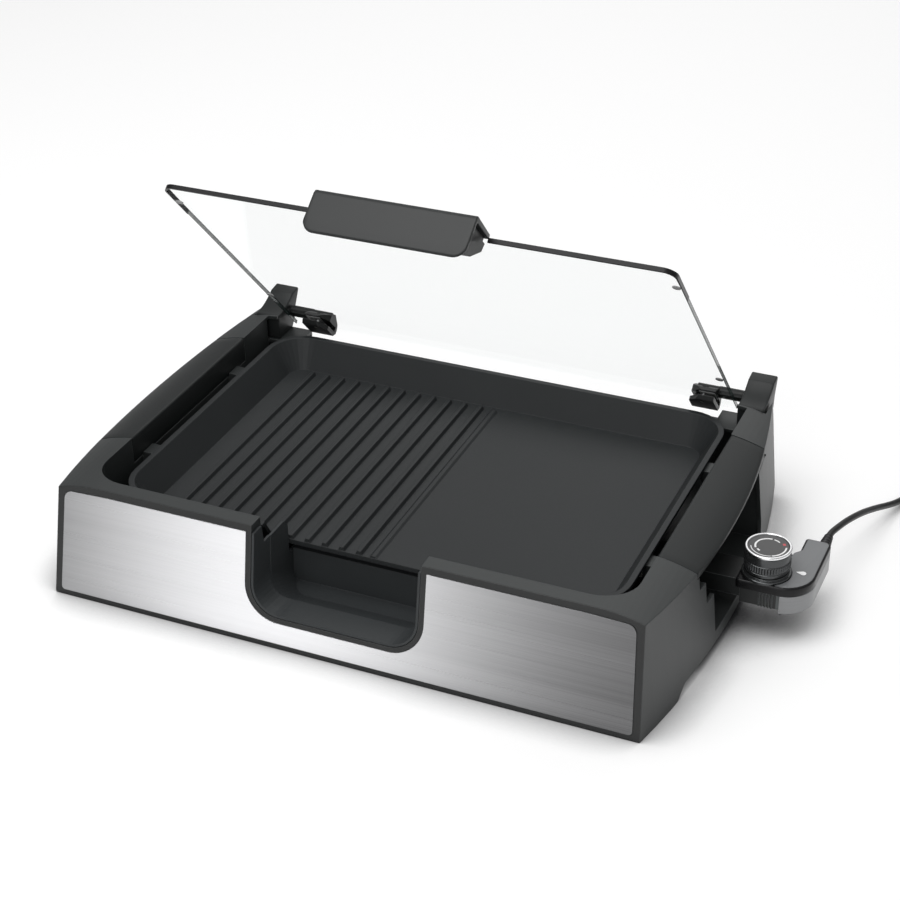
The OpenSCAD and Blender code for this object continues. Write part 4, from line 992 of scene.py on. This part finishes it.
def plug_outline(shrink, band):
    """Plan of the thermostat plug: nose, round front corner, arm, and the bulge behind the knob, an
    arc of the same radius. The silver band leaves the nose's front to the contact housing."""
    out, rear = local("plug_upper_shell")[1][:2]
    knob = sum(local("knob_ring")) / 2
    corner, front, arm = PLUG_CORNER, knob[1] - PLUG_FRONT, out - PLUG_ARM
    left, split, gap = knob[0] - 0.019, knob[0] + 0.015, knob[1] + 0.0159
    middle = np.array([out - corner, front + corner])

    def bend(start, stop):
        angle = np.radians(np.linspace(start, stop, 24))
        return (middle + corner * np.stack([np.cos(angle), np.sin(angle)], 1)).tolist()

    round_front, bulge = bend(-82.8 if band else -90.0, 0), bend(80.4, 150)
    corners = round_front + [(out, rear), (arm, rear)] + bulge + [(left, front + 0.036)]
    radii = [0.0] * 24 + [0.005, 0.0025, 0.0025] + [0.0] * 23 + [0.003]
    corners += [(left, gap), (split, gap)] if band else [(left, front)]
    radii += [0.001, 0.0005] if band else [0.003]
    return inset(rounded(corners, radii, 8), shrink)


class GRILL_OT_plug(Operator):
    """Shape the thermostat plug's shells, top plate, bezel and strain relief"""

    bl_idname = "grill.plug"
    bl_label = "Thermostat plug"

    def execute(self, context):
        shoulder = context.scene.grill_plug.shoulder
        low, high = local("plug_upper_shell")
        base, split = local("plug_lower_shell")[0][2], low[2]
        roof = local("plug_top_plate")[1][2]
        centre = sum(local("knob_ring")) / 2
        turn = np.linspace(0, math.pi / 2, 6)

        def stack(levels, band):
            """Rows of the plan at each height, drawn in by the second number."""
            loops = [(plug_outline(shrink, band), height) for height, shrink in levels]
            return np.array([np.insert(loop, 2, height, axis=1) for loop, height in loops])

        def add_part(name, grid, finish, slot, replaces, **more):
            add_piece(name, grid, finish, "thermostat_plug", slot, (replaces,), **more)

        foot = 0.0018
        levels = [(base + foot * (1 - math.cos(a)), foot * (1 - math.sin(a))) for a in turn]
        levels += [(z, 0.0) for z in np.linspace(base + 0.003, split - 0.0006, 4)]
        levels += [(split - 0.0003, 0.0001), (split - 0.0001, 0.0004)]
        add_part("plug_lower_case", stack(levels, True), "silver", "plug_gray", "plug_lower_shell")
        brim = roof - 0.0004
        levels = [(split, 0.0005), (split + 0.0002, 0.0001), (split + 0.0005, 0.0)]
        levels += [
            (brim - shoulder * (1 - math.sin(a)), shoulder * (1 - math.cos(a))) for a in turn
        ]
        levels += [(brim, shoulder + 0.0003), (roof - 0.0008, shoulder + 0.0005)]
        add_part("plug_upper_case", stack(levels, False), "gloss", "plug_black", "plug_upper_shell")

        reach, hole = shoulder + 0.0002, 0.0188
        out, rear, front = high[0], high[1], centre[1] - PLUG_FRONT
        angle = np.radians(np.linspace(56, -60, 24))
        rim = centre[:2] + hole * np.stack([np.cos(angle), np.sin(angle)], 1)
        arm = out - PLUG_ARM + reach
        corners = [
            (rim[-1][0] + 0.0002, front + reach), (out - reach, front + reach),
            (out - reach, rear - reach), (arm, rear - reach), (arm, rear - 0.0175),
            (arm - 0.005, rear - 0.024), *rim.tolist(),
        ]
        radii = [0.0006, PLUG_CORNER - reach, 0.0035, 0.0015, 0.002, 0.001] + [0.0004] * 24
        plan = rounded(corners, radii, 8)
        plate = prism(lambda z: plan, roof - 0.0009, roof, 0.0003)
        add_part("plug_top_panel", plate, "satin", "plug_gray", "plug_top_plate")

        base, top = local("knob_bezel")
        radius = (top[0] - base[0]) / 2
        collar = [
            (0.0034, base[2]), (radius - 0.0002, base[2]), (radius, base[2] + 0.0008),
            (radius, base[2] + 0.0020), (radius - 0.0005, base[2] + 0.0024),
            (radius - 0.0014, base[2] + 0.0025), (radius - 0.0016, base[2] + 0.0028),
            (radius - 0.0016, top[2] - 0.0004), (radius - 0.0020, top[2]), (0.0034, top[2]),
        ]
        collar = lathe(collar, centre * (1, 1, 0))
        add_part("dial_collar", collar, "smoke", "plug_black", "knob_bezel", ring=True, sharp=30)

        base, top = local("strain_relief")
        middle = (base + top) / 2
        start = high[1]
        sleeve = [
            (0.0005, base[1]), (0.0043, base[1]), (0.0043, start), (0.0054, start + 0.0001),
            (0.0058, start + 0.0006), (0.0058, start + 0.0022),
        ]
        t = np.linspace(0.1, 0.97, 70)
        wave = 0.00032 * np.sin(2 * math.pi * t * 5.5) ** 3
        sleeve += list(zip(0.0052 - 0.0020 * t + wave, start + (top[1] - start) * t))
        sleeve += [(0.0031, top[1] - 0.0002), (0.0029, top[1]), (0.0005, top[1])]
        sleeve = lathe(sleeve, middle * (1, 0, 1), axis="y", sides=40)
        add_part("cord_sleeve", sleeve, "cord", "cord_black", "strain_relief", sharp=50)
        return {"FINISHED"}


class GRILL_OT_mains_plug(Operator):
    """Shape the mains plug's moulded body at the end of the lead"""

    bl_idname = "grill.mains_plug"
    bl_label = "Mains plug"

    def execute(self, context):
        low, high = local("mains_plug_body")
        middle, half = (low + high) / 2, (high - low) / 2
        neck = context.scene.grill_plug.cord_diameter / 2 + 0.0003
        stations = [np.linspace(0, 0.40, 16), np.linspace(0.42, 0.96, 40), [0.98, 0.992, 1.0]]
        t = np.concatenate(stations)[:, None]
        grow = np.clip(t / 0.42, 0, 1)
        grow = grow**2 * (3 - 2 * grow)
        close = 0.0016 * np.clip((t - 0.96) / 0.04, 0, 1) ** 2
        ribs = 0.0005 * np.sin(2 * math.pi * t * 9) ** 2 * (np.abs(t - 0.66) < 0.17)
        wide = neck + (half[0] - neck) * grow - close - ribs
        tall = neck + (half[2] - neck) * grow - close - ribs
        power = 1 - 0.5 * grow
        angle = np.linspace(0, 2 * math.pi, 72, endpoint=False)[None]
        across = wide * np.sign(np.cos(angle)) * np.abs(np.cos(angle)) ** power
        above = tall * np.sign(np.sin(angle)) * np.abs(np.sin(angle)) ** power
        along = np.broadcast_to(high[1] - t * (high[1] - low[1]), across.shape)
        case = np.stack([middle[0] + across, along, middle[2] + above], -1)
        add_piece(
            "mains_plug_case", case, "cord", "thermostat_plug", "cord_black", ("mains_plug_body",),
            sharp=40,
        )
        return {"FINISHED"}


class GRILL_OT_cord(Operator):
    """Lay the lead from the thermostat plug to its coil and mains plug"""

    bl_idname = "grill.cord"
    bl_label = "Cord"

    def execute(self, context):
        plug = context.scene.grill_plug
        low, high = local("strain_relief")
        exit_place = np.array([(low[0] + high[0]) / 2, high[1], (low[2] + high[2]) / 2])
        thick, radius = plug.cord_diameter, plug.coil_radius
        # Turns lie step apart, then climb by rise onto the first layer and draw in by dip there;
        # lift is the gap under the cord.
        step, rise, dip, lift = 0.0060, 0.0059, 0.002, 0.001
        away = (0.077, 0.172)
        ahead = exit_place * (1, 1, 0)
        centre = ahead[:2] + away
        start = np.array([centre[0] - radius, centre[1] - thick, thick / 2 + lift])
        steps = [
            (0, 0, 0.038), (0.0005, 0.007, 0.0379), (0.0027, 0.016, 0.0373),
            (0.0056, 0.028, 0.0357), (0.0085, 0.040, 0.0332), (0.0112, 0.052, 0.0299),
            (0.014, 0.064, 0.0261), (0.017, 0.076, 0.0218), (0.0202, 0.088, 0.0173),
            (0.024, 0.100, 0.0128), (0.028, 0.112, 0.0088), (0.032, 0.124, 0.0058),
            (0.0356, 0.136, 0.0042), (0.0384, 0.148, 0.0036),
        ]
        route = [*(ahead + np.array(steps)), start - (0, thick, 0), start]
        inward = (plug.coil_turns - 0.5) / 2
        t = np.linspace(0, plug.coil_turns, int(24 * plug.coil_turns) + 1)
        climb = np.clip((t - inward) / 0.5, 0, 1)
        r = radius - step * np.minimum(np.minimum(t, plug.coil_turns - t), inward)
        r = r - dip * np.sin(math.pi * climb) ** 2
        z = thick / 2 + lift + rise * (1 - np.cos(math.pi * climb)) / 2
        angle = 2 * math.pi * t
        turns = np.stack([centre[0] - r * np.cos(angle), centre[1] + r * np.sin(angle), z], 1)
        tail = turns[-1] - np.outer([0.5, 1.0], [0, 0.016, 0])
        path = np.concatenate([smooth_curve(route, 4), turns, tail])
        piece = add_piece(
            "lead", tube(path, thick / 2, 14), "cord", "thermostat_plug", "cord_black",
            ("cord_run", "cord_coil"), sharp=60,
        )
        return {"FINISHED"}


class GRILL_OT_stage(Operator):
    """Set the camera, the floor and the lights"""

    bl_idname = "grill.stage"
    bl_label = "Stage"

    def execute(self, context):
        stage = context.scene.grill_stage
        head, tilt, roll = stage.heading, stage.tilt, stage.roll
        ahead = np.array(
            [-math.sin(head) * math.cos(tilt), math.cos(head) * math.cos(tilt), -math.sin(tilt)]
        )
        right = np.array([math.cos(head), math.sin(head), 0.0])
        up = np.cross(right, ahead)
        level = math.cos(roll) * up - math.sin(roll) * right
        across = math.cos(roll) * right + math.sin(roll) * up
        data = bpy.data.cameras.new("camera")
        data.lens = stage.lens
        data.sensor_width = 36.0
        camera = bpy.data.objects.new("camera", data)
        matrix = Matrix([tuple(across), tuple(level), tuple(-ahead)]).transposed().to_4x4()
        matrix.translation = np.array(stage.camera_place) + ORIGIN
        camera.matrix_world = matrix
        context.scene.collection.objects.link(camera)
        context.scene.camera = camera

        size = 8.0
        mesh = bpy.data.meshes.new("floor")
        square = np.array([[-1, -1, 0], [1, -1, 0], [1, 1, 0], [-1, 1, 0]]) * size
        mesh.from_pydata(square, [], [(0, 1, 2, 3)])
        floor = bpy.data.objects.new("floor", mesh)
        context.scene.collection.objects.link(floor)
        mesh.materials.append(white_floor("white_floor"))

        for name, place, aim, width, power in (
            ("key", (-0.3, -0.4, 2.3), (0, 0.1, 0), 1.8, 30.0),
            ("fill", (0.3, -2.4, 0.9), (0, 0.1, 0.05), 1.6, 14.0),
            ("back", (-0.3, 2.0, 1.6), (0, 0.1, 0), 1.8, 8.0),
        ):
            light = bpy.data.lights.new(name, "AREA")
            light.shape = "SQUARE"
            light.size = width
            light.energy = power
            lamp = bpy.data.objects.new(name, light)
            lamp.matrix_world = facing(place, np.array(aim) - np.array(place))
            context.scene.collection.objects.link(lamp)
        world = bpy.data.worlds.new("studio")
        context.scene.world = world
        light_world(world)
        context.scene.view_settings.view_transform = "Standard"
        return {"FINISHED"}


def facing(place, direction):
    """Matrix of something at place that looks along direction."""
    back = -np.array(direction, float)
    back /= np.linalg.norm(back)
    right = np.cross([0, 0, 1], back)
    right /= np.linalg.norm(right)
    matrix = Matrix([tuple(right), tuple(np.cross(back, right)), tuple(back)]).transposed().to_4x4()
    matrix.translation = place
    return matrix


def white_floor(name):
    """White floor that keeps the object's shadow: part of its white comes from itself, and that
    part is only for the eye, for reflections and for what glass shows. Close to the object an
    ambient-occlusion node paints a dark contact shadow over it."""
    paint = Paint(name)
    eye, mirror, glass = (
        paint.node("ShaderNodeLightPath", output=f"Is {kind} Ray")
        for kind in ("Camera", "Glossy", "Transmission")
    )
    seen = eye.larger(mirror.larger(glass))
    white = paint.mix(paint.noise(paint.place(), 0.8), (0.765,) * 3, (0.785,) * 3)
    dull = paint.node("ShaderNodeBsdfDiffuse", (), {"Color": white})
    own = paint.node("ShaderNodeEmission", (), {"Color": (1, 1, 1, 1), "Strength": 0.26})
    lit = paint.blend(seen, dull, paint.node("ShaderNodeAddShader", (), {0: dull, 1: own}))
    # Painted contact shadow: a dark floor mixed in where ambient occlusion finds the object near.
    painted_contact_shadow = paint.node("ShaderNodeBsdfDiffuse", (), {"Color": (0.05, 0.05, 0.055, 1)})
    open_sky = paint.node(
        "ShaderNodeAmbientOcclusion", {"samples": 16}, {"Distance": 0.05}, output="AO"
    )
    clear = ((open_sky - 0.30) * 1.75).clamped()
    return paint.surface(paint.blend(clear, painted_contact_shadow, lit))


def light_world(world):
    """Soft studio light: bright overhead, dimmer towards the horizon; white behind the object."""
    paint = Paint("", world)
    around = paint.node("ShaderNodeTexCoord", output="Generated")
    height = paint.axes(around)[2]
    stops = [(0.0, (0.22, 0.22, 0.225, 1)), (0.8, (1, 1, 1, 1))]
    sky = paint.node("ShaderNodeValToRGB", {"stops": stops}, {"Fac": height})
    soft = paint.node("ShaderNodeBackground", (), {"Color": sky, "Strength": 0.55})
    white = paint.node("ShaderNodeBackground", (), {"Color": (1, 1, 1, 1), "Strength": 1.0})
    eye = paint.node("ShaderNodeLightPath", output="Is Camera Ray")
    paint.node("ShaderNodeOutputWorld", (), {"Surface": paint.blend(eye, soft, white)})


class GRILL_PT_panel(Panel):
    """Lists the steps in the sidebar"""

    bl_label = "Grill"
    bl_space_type = "VIEW_3D"
    bl_region_type = "UI"
    bl_category = "Grill"

    def draw(self, context):
        for step in STEPS:
            self.layout.operator(step.bl_idname)


SETTINGS = {
    "grill_body": BodySettings,
    "grill_lid": LidSettings,
    "grill_plug": PlugSettings,
    "grill_finish": FinishSettings,
    "grill_stage": StageSettings,
}
STEPS = (
    GRILL_OT_finishes,
    GRILL_OT_stage,
    GRILL_OT_mains_plug,
    GRILL_OT_cord,
    GRILL_OT_handles,
    GRILL_OT_posts,
    GRILL_OT_lid,
    GRILL_OT_plug,
    GRILL_OT_knob,
)


def register():
    for kind in (*SETTINGS.values(), *STEPS, GRILL_PT_panel):
        bpy.utils.register_class(kind)
    for name, kind in SETTINGS.items():
        setattr(bpy.types.Scene, name, PointerProperty(type=kind))


def unregister():
    for name in SETTINGS:
        delattr(bpy.types.Scene, name)
    for kind in reversed((*SETTINGS.values(), *STEPS, GRILL_PT_panel)):
        bpy.utils.unregister_class(kind)


def main():
    register()
    for step in STEPS:
        group, name = step.bl_idname.split(".")
        getattr(getattr(bpy.ops, group), name)()


if __name__ == "__main__":
    main()
